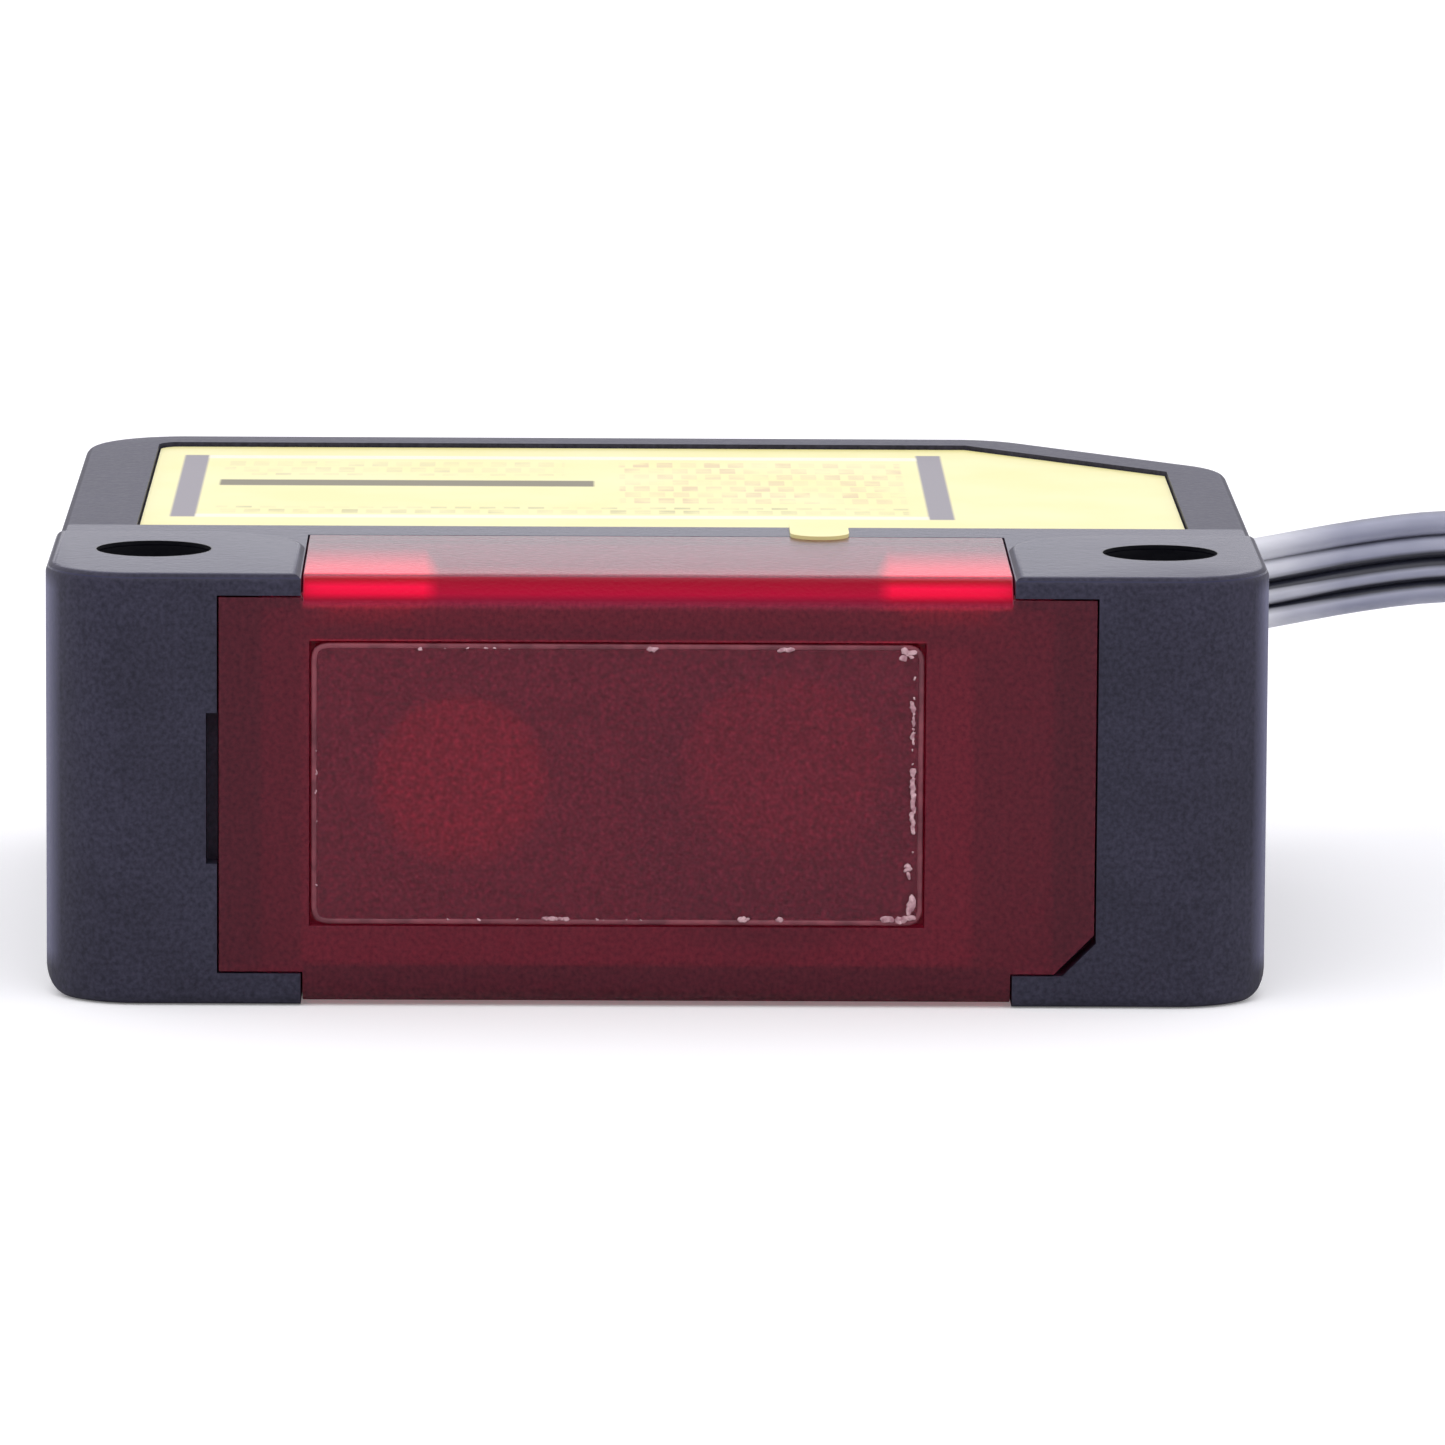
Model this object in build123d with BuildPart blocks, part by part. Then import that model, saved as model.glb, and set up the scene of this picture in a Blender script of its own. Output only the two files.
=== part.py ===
from build123d import *
import math
import os

os.makedirs("parts", exist_ok=True)

# A small laser sensor that lies on its large lower face. X runs across the two ears,
# Y from the optical front to the back, and Z up through the thickness. The origin is
# under the middle of the body, on the surface that it rests on. Sizes are in mm.

# Body
ear_margin = 2.9
body_depth = 30.4
body_height = 12.0
side_step = 0.06
pad_step = 0.12
ear_depth = 8.8
ear_corner_radius = 2.6
pad_corner_radius = 3.0
pad_edge_radius = 0.3
rim_radius = 0.3
lower_edge_radius = 0.35
side_lower_radius = 0.9
back_corner_radius = 3.0
back_bevel = 6.6
bevel_corner_radius = 3.0
side_wall = 1.2
floor_wall = 1.0

# Mounting holes
hole_pitch = 28.0
hole_radius = 1.6
hole_from_front = 5.0
hole_wall = 1.5

# Front cover
cover_span = 24.1
cover_wall = 1.1
wing_low = 0.95
wing_top_gap = 0.64
tongue_span = 19.5
tongue_low = 0.1
flange_wall = 0.9
flange_lap = 0.8
light_edge_run = 0.95
light_edge_drop = 0.62
tongue_lower_radius = 0.5
cover_corner_bevel = 1.1
corner_slit = 0.2
fit_gap = 0.05
pry_slot_width = 0.3
pry_slot_height = 4.2
pry_slot_depth = 0.8

# Window plate in the front cover
window_centre_x = -1.1
window_rise = 0.2
window_width = 16.6
window_height = 7.6
window_wall = 0.5
window_sink = 0.03
glue_width = 0.16
glue_sink = 0.05

# Label and lid on the upper face
label_left_rim = 2.2
label_right_rim = 1.8
label_from_front = 10.75
label_from_back = 1.7
label_bevel = 5.7
label_corner_radius = 0.6
label_film = 0.12
label_sink = 0.25
label_gap = 0.06
tab_centre_x = 4.6
tab_width = 1.66
tab_reach = 2.6
tab_lift = 0.1
lid_wall = 0.7
lid_inset = 0.5
lid_seat = 0.9
lid_seat_wall = 0.38

# Optics
emitter_x = -5.4
receiver_x = 3.5
optic_rise = 0.05
aperture_gap = 0.25
aperture_wall = 0.3
emitter_wall = 0.98
receiver_wall = 0.48
emitter_lip = 0.35
receiver_lip = 0.25
emitter_lens_edge = 1.0
emitter_lens_crown = 0.8
receiver_lens_edge = 1.1
receiver_lens_crown = 1.0
lens_gap = 0.03
dome_gap = 0.1
block_left_gap = 1.1
block_right_gap = 2.2
block_length = 10.25
emitter_seat_step = 0.55
receiver_seat_step = 0.35
receiver_bore_taper = 1.0
receiver_pocket_wall = 0.87
receiver_pocket_width = 5.0
receiver_pocket_depth = 2.6
block_spacer = 0.7
block_spacer_radius = 0.6
block_spacer_inset = 0.9

# Laser and receiver
holder_radius = 2.6
holder_length = 4.0
holder_bore_radius = 1.45
laser_base_radius = 1.9
laser_base_wall = 1.2
laser_cap_radius = 1.3
laser_cap_length = 2.3
laser_pin_radius = 0.2
laser_pin_circle = 0.7
laser_pin_count = 3
laser_pin_reach = 0.4
filter_wall = 0.55
filter_gap = 0.05
diode_gap = 0.8
diode_wall = 1.3

# Boards
board_wall = 0.6
board_lid_gap = 0.1
board_front_gap = 0.25
board_neck_gap = 1.0
board_side_gap = 2.45
board_neck_end = 11.5
board_back_gap = 2.8
board_bevel = 4.4
optics_board_wall = 0.8
optics_board_lift = 0.3
pin_clearance = 0.05
link_pin_width = 0.4
link_pin_count = 6
link_pin_pitch = 1.27
link_pin_inset = 0.8
link_pin_reach = 1.55
link_pin_top = 0.3
rib_width = 2.0
rib_lap = 1.0
left_rib_step = 6.0
right_rib_step = 3.0
back_rib_x = -0.6

# Parts on the boards
indicator_end_gap = 1.8
indicator_width = 2.4
indicator_depth = 1.2
indicator_height = 0.4
indicator_inset = 0.3
shield_width = 7.4
shield_foot_gap = 1.1
shield_top_gap = 0.55
shield_depth = 2.0
shield_wall = 0.2
amplifier_size = 3.0
amplifier_wall = 0.75
control_size = 5.0
control_wall = 0.9
control_x = -4.5
control_step = 0.8
driver_width = 4.4
driver_depth = 3.0
driver_wall = 1.1
driver_x = 4.5
driver_gap = 1.2
capacitor_width = 1.6
capacitor_depth = 0.8
capacitor_height = 0.8
capacitor_pitch = 2.2
capacitor_columns = 2
capacitor_row_pitch = 1.4
capacitor_rows = 4
capacitor_edge_gap = 3.1

# Strain relief and lead
relief_top_gap = 0.4
cord_width = 2.8
cord_thickness = 0.75
relief_neck_width = 2.3
relief_neck_height = 4.5
relief_flange_width = 3.8
relief_flange_height = 5.8
relief_flange_wall = 0.8
relief_length = 2.6
relief_tip_width = 1.5
relief_tip_height = 3.5
relief_collar = 0.3
relief_gap = 0.05
core_radius = 0.3
core_pitch = 0.7
core_first_reach = 2.6
core_reach_step = 0.9
core_bend = 0.5

# Coil of the put-away length, the turns of a flat lead wound on edge in two layers
coil_x = 51.0
coil_y = 8.1
coil_lift = 0.3
coil_inner_turn = 11.1
lower_outer_turn = 20.9
upper_outer_turn = 21.2
layer_pitch = 2.85
lower_turns = 9.5
upper_turns = 9.75
coil_lead = 7.0
tail_start_run = 3.6
bend_share = 0.45
tie_width = 2.4
tie_gap = 0.12

# Plug at the end of the lead
plug_width = 10.2
plug_length = 14.6
plug_height = 6.2
plug_cover_height = 2.1
plug_cover_length = 8.6
plug_floor = 3.0
plug_edge = 0.4
plug_latch_width = 3.4
plug_latch_length = 4.4
plug_latch_height = 0.7
plug_rib_count = 3
plug_rib_pitch = 1.6
plug_rib_width = 0.7
plug_rib_depth = 0.25
contact_count = 4
contact_pitch = 2.0
contact_width = 1.0
contact_height = 0.7
contact_reach = 6.4
contact_slot_depth = 11.4
contact_wall = 0.4

# Places that follow from the sizes above
front_y = -body_depth / 2
back_y = body_depth / 2
ear_x = hole_pitch / 2 + ear_margin
side_x = ear_x - side_step
rim_z = body_height - pad_step
optic_z = body_height / 2 + optic_rise
ear_y = front_y + ear_depth
hole_x = hole_pitch / 2
hole_y = front_y + hole_from_front
tongue_x = tongue_span / 2
cover_x = cover_span / 2
wing_high = body_height - wing_top_gap
window_centre_z = body_height / 2 + window_rise
cover_inner_y = front_y + cover_wall
flange_low_z = rim_z - flange_wall
label_z = rim_z - label_sink
lid_z = label_z - lid_wall
lid_seat_z = lid_z - lid_seat_wall
label_left = -side_x + label_left_rim
label_right = side_x - label_right_rim
label_front_y = front_y + label_from_front
label_back_y = back_y - label_from_back
channel_x = hole_x - hole_radius - hole_wall
cavity_x = side_x - side_wall
cavity_front_y = ear_y - flange_lap
cavity_back_y = back_y - side_wall
aperture_y = cover_inner_y + aperture_gap
block_y = aperture_y + aperture_wall
block_back_y = block_y + block_length
optics_board_y = block_back_y + block_spacer
optics_board_back_y = optics_board_y + optics_board_wall
board_top_z = lid_seat_z - board_lid_gap
board_low_z = board_top_z - board_wall
board_x = cavity_x - board_side_gap
block_left = block_left_gap - channel_x
block_right = channel_x - block_right_gap
board_front_y = cover_inner_y + board_front_gap
board_neck_y = front_y + board_neck_end
board_back_y = cavity_back_y - board_back_gap
chip_area_y = (optics_board_back_y + board_back_y) / 2
lens_room = board_low_z - optic_z - lens_gap
emitter_lens_radius = lens_room - emitter_wall
receiver_lens_radius = lens_room - receiver_wall
emitter_opening_radius = emitter_lens_radius - emitter_lip
receiver_opening_radius = receiver_lens_radius - receiver_lip
emitter_bore_radius = emitter_lens_radius - emitter_seat_step
receiver_bore_radius = receiver_lens_radius - receiver_seat_step
receiver_bore_end_radius = receiver_bore_radius - receiver_bore_taper
receiver_pocket_height = 2 * (lens_room - receiver_pocket_wall)
bevel_wall_cut = side_wall * (2 - math.sqrt(2))
exit_x = side_x - back_bevel / 2
exit_y = back_y - back_bevel / 2
exit_z = lid_seat_z - relief_top_gap - relief_flange_height / 2
diagonal = math.sqrt(0.5)

front_plane = Plane.XZ.offset(-front_y)
exit_plane = Plane(origin=(exit_x, exit_y, exit_z), x_dir=(-1, 1, 0), z_dir=(1, 1, 0))


def bevelled_plan(left, right, front, back, bevel):
    """A rectangle in plan whose back right corner is cut off at 45 degrees."""
    with BuildLine() as outline:
        Polyline(
            (left, front),
            (right, front),
            (right, back - bevel),
            (right - bevel, back),
            (left, back),
            close=True,
        )
    make_face(outline.edges())


def corner_near(sketch, x, y):
    """The one corner of a sketch that lies nearest a point in plan."""
    return sketch.vertices().sort_by_distance(Vector(x, y, 0))[0]


def save(part, name):
    """Label a finished piece and write it to its own file."""
    part.label = name
    export_step(part, f"parts/{name}.step")


# Ear: a boss round one mounting hole, proud of the side wall and of the rim
with BuildPart() as ear:
    with BuildSketch(Plane.XY) as ear_plan:
        with BuildLine():
            Polyline(
                (tongue_x, front_y),
                (ear_x, front_y),
                (ear_x, ear_y),
                (tongue_x, ear_y),
                close=True,
            )
        make_face()
        fillet(corner_near(ear_plan, ear_x, front_y), ear_corner_radius)
        fillet(corner_near(ear_plan, tongue_x, ear_y), pad_corner_radius)
    extrude(amount=body_height)
    ear_top = ear.edges().group_by(Axis.Z)[-1]
    fillet(ear_top.filter_by_position(Axis.X, hole_x, ear_x), pad_edge_radius)
    ear_base = ear.edges().group_by(Axis.Z)[0]
    fillet(ear_base.filter_by_position(Axis.X, hole_x, ear_x), lower_edge_radius)


def front_rectangle(centre_x, centre_z, width, height):
    """A rectangle on the front face, given by its middle."""
    with Locations((centre_x, centre_z)):
        Rectangle(width, height)


def side_corner(side):
    """What the rounding takes off one lower side corner, as seen from the front."""
    inner_x = side * (ear_x - side_lower_radius)
    mid_x = side * (ear_x - side_lower_radius * (1 - diagonal))
    with BuildLine() as corner_outline:
        Line((inner_x, 0), (side * ear_x, 0))
        Line((side * ear_x, 0), (side * ear_x, side_lower_radius))
        ThreePointArc(
            (side * ear_x, side_lower_radius),
            (mid_x, side_lower_radius * (1 - diagonal)),
            (inner_x, 0),
        )
    make_face(corner_outline.edges())


def label_outline(inset):
    """The outline of the label, pulled in by an inset, with its rounded back left corner."""
    bevel_trim = inset * (2 - math.sqrt(2))
    bevelled_plan(
        label_left + inset,
        label_right - inset,
        label_front_y + inset,
        label_back_y - inset,
        label_bevel - bevel_trim,
    )


# Housing: one moulded shell with a front pocket, a lid seat and a label recess
with BuildPart() as housing:
    with BuildSketch(Plane.XY) as body_plan:
        bevelled_plan(-side_x, side_x, front_y, back_y, back_bevel)
        fillet(corner_near(body_plan, -side_x, back_y), back_corner_radius)
        fillet(corner_near(body_plan, side_x, back_y - back_bevel), bevel_corner_radius)
        fillet(corner_near(body_plan, side_x - back_bevel, back_y), bevel_corner_radius)
        fillet(corner_near(body_plan, side_x, front_y), ear_corner_radius - side_step)
        fillet(corner_near(body_plan, -side_x, front_y), ear_corner_radius - side_step)
    extrude(amount=rim_z)
    fillet(housing.edges().group_by(Axis.Z)[-1], rim_radius)
    fillet(housing.edges().group_by(Axis.Z)[0], lower_edge_radius)
    add(ear.part)
    add(mirror(ear.part, about=Plane.YZ, mode=Mode.PRIVATE))
    # Wider rounding along the lower side edges
    with BuildSketch(front_plane):
        for side in (-1, 1):
            side_corner(side)
    extrude(amount=-body_depth, mode=Mode.SUBTRACT)
    # Pocket for the cover's wings, with one bevelled corner, and the slot for prying it out
    with BuildSketch(front_plane) as wing_pocket:
        pocket_low = wing_low - fit_gap
        pocket_high = wing_high + fit_gap
        front_rectangle(
            0,
            (pocket_low + pocket_high) / 2,
            cover_span + 2 * fit_gap,
            pocket_high - pocket_low,
        )
        pocket_bevel = cover_corner_bevel + 2 * fit_gap - corner_slit / diagonal
        pocket_corner = wing_pocket.vertices().group_by(Axis.Y)[0].sort_by(Axis.X)[-1]
        chamfer(pocket_corner, pocket_bevel)
    extrude(amount=-cover_wall, mode=Mode.SUBTRACT)
    with BuildSketch(front_plane):
        pry_slot_x = -cover_x - fit_gap - pry_slot_width / 2
        front_rectangle(pry_slot_x, optic_z, pry_slot_width, pry_slot_height)
    extrude(amount=-pry_slot_depth, mode=Mode.SUBTRACT)
    # Openings for the cover's middle and for the flanges that lap on to both faces
    with BuildSketch(front_plane):
        front_rectangle(0, body_height / 2, tongue_span + 2 * fit_gap, body_height)
    extrude(amount=-cover_wall, mode=Mode.SUBTRACT)
    with BuildSketch(Plane.XY.offset(flange_low_z)):
        with Locations((0, (front_y + ear_y) / 2)):
            Rectangle(tongue_span + 2 * fit_gap, ear_depth)
    extrude(amount=body_height - flange_low_z, mode=Mode.SUBTRACT)
    with BuildSketch(Plane.XY):
        with Locations((0, (front_y + ear_y) / 2)):
            Rectangle(tongue_span + 2 * fit_gap, ear_depth)
    extrude(amount=floor_wall, mode=Mode.SUBTRACT)
    # Channel between the ears, and the wide cavity behind them
    with BuildSketch(Plane.XY.offset(floor_wall)):
        with Locations((0, (cover_inner_y + cavity_front_y) / 2)):
            Rectangle(2 * channel_x, cavity_front_y - cover_inner_y)
    extrude(amount=flange_low_z - floor_wall, mode=Mode.SUBTRACT)
    with BuildSketch(Plane.XY.offset(floor_wall)) as cavity_plan:
        bevelled_plan(
            -cavity_x, cavity_x, cavity_front_y, cavity_back_y, back_bevel - bevel_wall_cut
        )
        fillet(
            corner_near(cavity_plan, -cavity_x, cavity_back_y), back_corner_radius - side_wall
        )
    extrude(amount=lid_seat_z - floor_wall, mode=Mode.SUBTRACT)
    # Ribs that carry the main board
    with BuildSketch(Plane.XY.offset(floor_wall)):
        left_rib_length = -board_x + rib_lap + cavity_x
        with Locations((-cavity_x + left_rib_length / 2, board_neck_y + left_rib_step)):
            Rectangle(left_rib_length, rib_width)
        right_rib_length = cavity_x - board_x + rib_lap
        with Locations((cavity_x - right_rib_length / 2, board_neck_y + right_rib_step)):
            Rectangle(right_rib_length, rib_width)
        back_rib_length = cavity_back_y - board_back_y + rib_lap
        with Locations((back_rib_x, cavity_back_y - back_rib_length / 2)):
            Rectangle(rib_width, back_rib_length)
    extrude(amount=board_low_z - floor_wall)
    # Label recess, lid seat and the opening under the lid
    with BuildSketch(Plane.XY.offset(label_z)) as recess_plan:
        label_outline(-label_gap)
        fillet(corner_near(recess_plan, label_left, label_back_y), label_corner_radius)
    extrude(amount=label_sink, mode=Mode.SUBTRACT)
    with BuildSketch(Plane.XY.offset(lid_z)):
        label_outline(lid_inset - fit_gap)
    extrude(amount=lid_wall, mode=Mode.SUBTRACT)
    with BuildSketch(Plane.XY.offset(lid_seat_z)):
        label_outline(lid_inset + lid_seat)
    extrude(amount=lid_seat_wall, mode=Mode.SUBTRACT)
    # Mounting holes through both ears
    with BuildSketch(Plane.XY):
        with Locations((-hole_x, hole_y), (hole_x, hole_y)):
            Circle(hole_radius)
    extrude(amount=body_height, mode=Mode.SUBTRACT)
    # Way out for the strain relief through the bevelled wall
    with BuildSketch(exit_plane):
        Rectangle(relief_neck_width + 2 * relief_gap, relief_neck_height + 2 * relief_gap)
    extrude(amount=-side_wall, mode=Mode.SUBTRACT)
save(housing.part, "housing")

# Lid: closes the body from above and lies on a step of the housing
with BuildPart() as lid:
    with BuildSketch(Plane.XY.offset(lid_z)):
        label_outline(lid_inset)
    extrude(amount=lid_wall)
save(lid.part, "lid")

# Label: printed film in the recess, with a tab that lies over the front rim
with BuildPart() as label:
    with BuildSketch(Plane.XY.offset(label_z)) as film_plan:
        label_outline(0)
        fillet(corner_near(film_plan, label_left, label_back_y), label_corner_radius)
    extrude(amount=label_film)
    with BuildSketch(Plane.XY.offset(label_z)):
        with Locations((tab_centre_x, label_front_y + label_sink / 2)):
            Rectangle(tab_width, label_sink)
    extrude(amount=label_sink + tab_lift)
    with BuildSketch(Plane.XY.offset(rim_z)) as tab_plan:
        with Locations((tab_centre_x, label_front_y + (label_sink - tab_reach) / 2)):
            Rectangle(tab_width, tab_reach + label_sink)
        fillet(tab_plan.vertices().group_by(Axis.Y)[0], tab_width / 2 - label_gap)
    extrude(amount=tab_lift)
save(label.part, "label")

# Front cover: a plate with two wings, whose middle laps on to the upper and lower faces
with BuildPart() as front_cover:
    with BuildSketch(front_plane) as wing_plan:
        front_rectangle(0, (wing_low + wing_high) / 2, cover_span, wing_high - wing_low)
        wing_corner = wing_plan.vertices().group_by(Axis.Y)[0].sort_by(Axis.X)[-1]
        chamfer(wing_corner, cover_corner_bevel)
    extrude(amount=-cover_wall)
    with BuildSketch(front_plane):
        front_rectangle(0, (tongue_low + rim_z) / 2, tongue_span, rim_z - tongue_low)
    extrude(amount=-cover_wall)
    flange_depth = ear_depth - fit_gap
    with BuildSketch(Plane.XY.offset(flange_low_z), Plane.XY.offset(tongue_low)):
        with Locations((0, front_y + flange_depth / 2)):
            Rectangle(tongue_span, flange_depth)
    extrude(amount=flange_wall)
    # Sloped top edge that catches the light, and the rounded lower edge
    with BuildSketch(Plane.YZ):
        with BuildLine():
            Polyline(
                (front_y, rim_z),
                (front_y, rim_z - light_edge_drop),
                (front_y + light_edge_run, rim_z),
                close=True,
            )
        make_face()
    extrude(amount=tongue_x, both=True, mode=Mode.SUBTRACT)
    lower_edge = front_cover.edges().filter_by(Axis.X).group_by(Axis.Z)[0].sort_by(Axis.Y)[0]
    fillet(lower_edge, tongue_lower_radius)
    # Pocket for the window plate and its bead of adhesive
    with BuildSketch(front_plane):
        front_rectangle(
            window_centre_x,
            window_centre_z,
            window_width + 2 * glue_width,
            window_height + 2 * glue_width,
        )
    extrude(amount=-window_wall - window_sink, mode=Mode.SUBTRACT)
save(front_cover.part, "front_cover")

# Window plate: thin polished plate in the pocket of the cover
with BuildPart() as window_plate:
    with BuildSketch(front_plane.offset(-window_sink)):
        front_rectangle(window_centre_x, window_centre_z, window_width, window_height)
    extrude(amount=-window_wall)
save(window_plate.part, "window_plate")

# Window glue: the bead that fills the gap round the plate
with BuildPart() as window_glue:
    with BuildSketch(front_plane.offset(-glue_sink)):
        front_rectangle(
            window_centre_x,
            window_centre_z,
            window_width + 2 * glue_width,
            window_height + 2 * glue_width,
        )
        with Locations((window_centre_x, window_centre_z)):
            Rectangle(window_width, window_height, mode=Mode.SUBTRACT)
    extrude(amount=glue_sink - window_wall - window_sink)
save(window_glue.part, "window_glue")

# Aperture plate: thin black plate with two round openings in front of the lenses
aperture_plane = Plane.XZ.offset(-aperture_y)
block_centre_x = (block_left + block_right) / 2
block_width = block_right - block_left
block_centre_z = (floor_wall + board_low_z) / 2
block_height = board_low_z - floor_wall
with BuildPart() as aperture_plate:
    with BuildSketch(aperture_plane):
        front_rectangle(block_centre_x, block_centre_z, block_width, block_height)
        with Locations((emitter_x, optic_z)):
            Circle(emitter_opening_radius, mode=Mode.SUBTRACT)
        with Locations((receiver_x, optic_z)):
            Circle(receiver_opening_radius, mode=Mode.SUBTRACT)
    extrude(amount=-aperture_wall)
save(aperture_plate.part, "aperture_plate")


def bore_profile(axis_x, steps):
    """Half of a stepped bore in plan. Each step gives where it starts, where it ends
    and its radius at each end, all measured back from the block's front face."""
    for start, end, start_radius, end_radius in steps:
        with BuildLine() as step_outline:
            Polyline(
                (axis_x, block_y + start),
                (axis_x + start_radius, block_y + start),
                (axis_x + end_radius, block_y + end),
                (axis_x, block_y + end),
                close=True,
            )
        make_face(step_outline.edges())


def lens(axis_x, radius, edge, crown, bore_radius):
    """A flat-backed lens with a rim, whose dome points into the bore behind it."""
    dome_radius = bore_radius - dome_gap
    sphere_radius = (dome_radius**2 + crown**2) / (2 * crown)
    half_drop = sphere_radius - math.sqrt(sphere_radius**2 - (dome_radius / 2) ** 2)
    with BuildPart() as glass:
        with BuildSketch(Plane.XY.offset(optic_z)):
            with BuildLine():
                Polyline(
                    (axis_x, block_y + edge + crown),
                    (axis_x, block_y),
                    (axis_x + radius, block_y),
                    (axis_x + radius, block_y + edge),
                    (axis_x + dome_radius, block_y + edge),
                )
                ThreePointArc(
                    (axis_x + dome_radius, block_y + edge),
                    (axis_x + dome_radius / 2, block_y + edge + crown - half_drop),
                    (axis_x, block_y + edge + crown),
                )
            make_face()
        revolve(axis=Axis((axis_x, 0, optic_z), (0, 1, 0)))
    return glass.part


# Optics block: black moulding that holds both lenses, the laser and the receiver in line
with BuildPart() as optics_block:
    with BuildSketch(Plane.XZ.offset(-block_y)):
        front_rectangle(block_centre_x, block_centre_z, block_width, block_height)
    extrude(amount=-block_length)
    with BuildSketch(Plane.XY.offset(optic_z)):
        emitter_seat = emitter_lens_radius + lens_gap
        holder_seat = holder_radius + lens_gap
        holder_start = block_length - holder_length
        bore_profile(
            emitter_x,
            (
                (0, emitter_lens_edge, emitter_seat, emitter_seat),
                (emitter_lens_edge, holder_start, emitter_bore_radius, emitter_bore_radius),
                (holder_start, block_length, holder_seat, holder_seat),
            ),
        )
    revolve(axis=Axis((emitter_x, 0, optic_z), (0, 1, 0)), mode=Mode.SUBTRACT)
    with BuildSketch(Plane.XY.offset(optic_z)):
        receiver_seat = receiver_lens_radius + lens_gap
        pocket_start = block_length - receiver_pocket_depth
        bore_profile(
            receiver_x,
            (
                (0, receiver_lens_edge, receiver_seat, receiver_seat),
                (
                    receiver_lens_edge,
                    pocket_start,
                    receiver_bore_radius,
                    receiver_bore_end_radius,
                ),
            ),
        )
    revolve(axis=Axis((receiver_x, 0, optic_z), (0, 1, 0)), mode=Mode.SUBTRACT)
    with BuildSketch(Plane.XZ.offset(-block_back_y)):
        front_rectangle(receiver_x, optic_z, receiver_pocket_width, receiver_pocket_height)
    extrude(amount=receiver_pocket_depth, mode=Mode.SUBTRACT)
    with BuildSketch(Plane.XZ.offset(-block_back_y)):
        with Locations(
            (block_left + block_spacer_inset, floor_wall + 2 * block_spacer_inset),
            (block_right - block_spacer_inset, board_low_z - block_spacer_inset),
        ):
            Circle(block_spacer_radius)
    extrude(amount=-block_spacer)
save(optics_block.part, "optics_block")

emitter_lens = lens(
    emitter_x, emitter_lens_radius, emitter_lens_edge, emitter_lens_crown, emitter_bore_radius
)
save(emitter_lens, "emitter_lens")
receiver_lens = lens(
    receiver_x,
    receiver_lens_radius,
    receiver_lens_edge,
    receiver_lens_crown,
    receiver_bore_radius,
)
save(receiver_lens, "receiver_lens")

# Laser holder: metal sleeve with a counterbore for the base of the laser diode
laser_back = Plane.XZ.offset(-block_back_y)
with BuildPart() as laser_holder:
    with BuildSketch(laser_back):
        with Locations((emitter_x, optic_z)):
            Circle(holder_radius)
            Circle(holder_bore_radius, mode=Mode.SUBTRACT)
    extrude(amount=holder_length)
    with BuildSketch(laser_back):
        with Locations((emitter_x, optic_z)):
            Circle(laser_base_radius + lens_gap)
    extrude(amount=laser_base_wall, mode=Mode.SUBTRACT)
save(laser_holder.part, "laser_holder")


def laser_pin_places():
    """The pins of the laser diode, evenly round its axis from the top."""
    turns = [math.tau * pin / laser_pin_count for pin in range(laser_pin_count)]
    return [
        (
            emitter_x + laser_pin_circle * math.sin(turn),
            optic_z + laser_pin_circle * math.cos(turn),
        )
        for turn in turns
    ]


# Laser diode: base and cap of one metal can, with three pins through the optics board
with BuildPart() as laser_diode:
    with BuildSketch(laser_back):
        with Locations((emitter_x, optic_z)):
            Circle(laser_base_radius)
    extrude(amount=laser_base_wall)
    with BuildSketch(laser_back.offset(laser_base_wall)):
        with Locations((emitter_x, optic_z)):
            Circle(laser_cap_radius)
    extrude(amount=laser_cap_length)
    with BuildSketch(laser_back):
        with Locations(*laser_pin_places()):
            Circle(laser_pin_radius)
    extrude(amount=-(block_spacer + optics_board_wall + laser_pin_reach))
save(laser_diode.part, "laser_diode")

# Receiver filter: small plate on the step at the end of the receiver's bore
with BuildPart() as receiver_filter:
    with BuildSketch(laser_back.offset(receiver_pocket_depth)):
        front_rectangle(
            receiver_x,
            optic_z,
            receiver_pocket_width - 2 * filter_gap,
            receiver_pocket_height - 2 * filter_gap,
        )
    extrude(amount=-filter_wall)
save(receiver_filter.part, "receiver_filter")

# Photodiode: flat package on the front of the optics board
board_face = Plane.XZ.offset(-optics_board_y)
with BuildPart() as photodiode:
    with BuildSketch(board_face):
        front_rectangle(
            receiver_x,
            optic_z,
            receiver_pocket_width - diode_gap,
            receiver_pocket_height - diode_gap,
        )
    extrude(amount=diode_wall)
save(photodiode.part, "photodiode")

# Optics board: upright board behind the block
with BuildPart() as optics_board:
    with BuildSketch(board_face):
        board_foot_z = floor_wall + optics_board_lift
        front_rectangle(
            block_centre_x,
            (board_foot_z + board_low_z) / 2,
            block_width,
            board_low_z - board_foot_z,
        )
        with Locations(*laser_pin_places()):
            Circle(laser_pin_radius + pin_clearance, mode=Mode.SUBTRACT)
    extrude(amount=-optics_board_wall)
save(optics_board.part, "optics_board")

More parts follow.
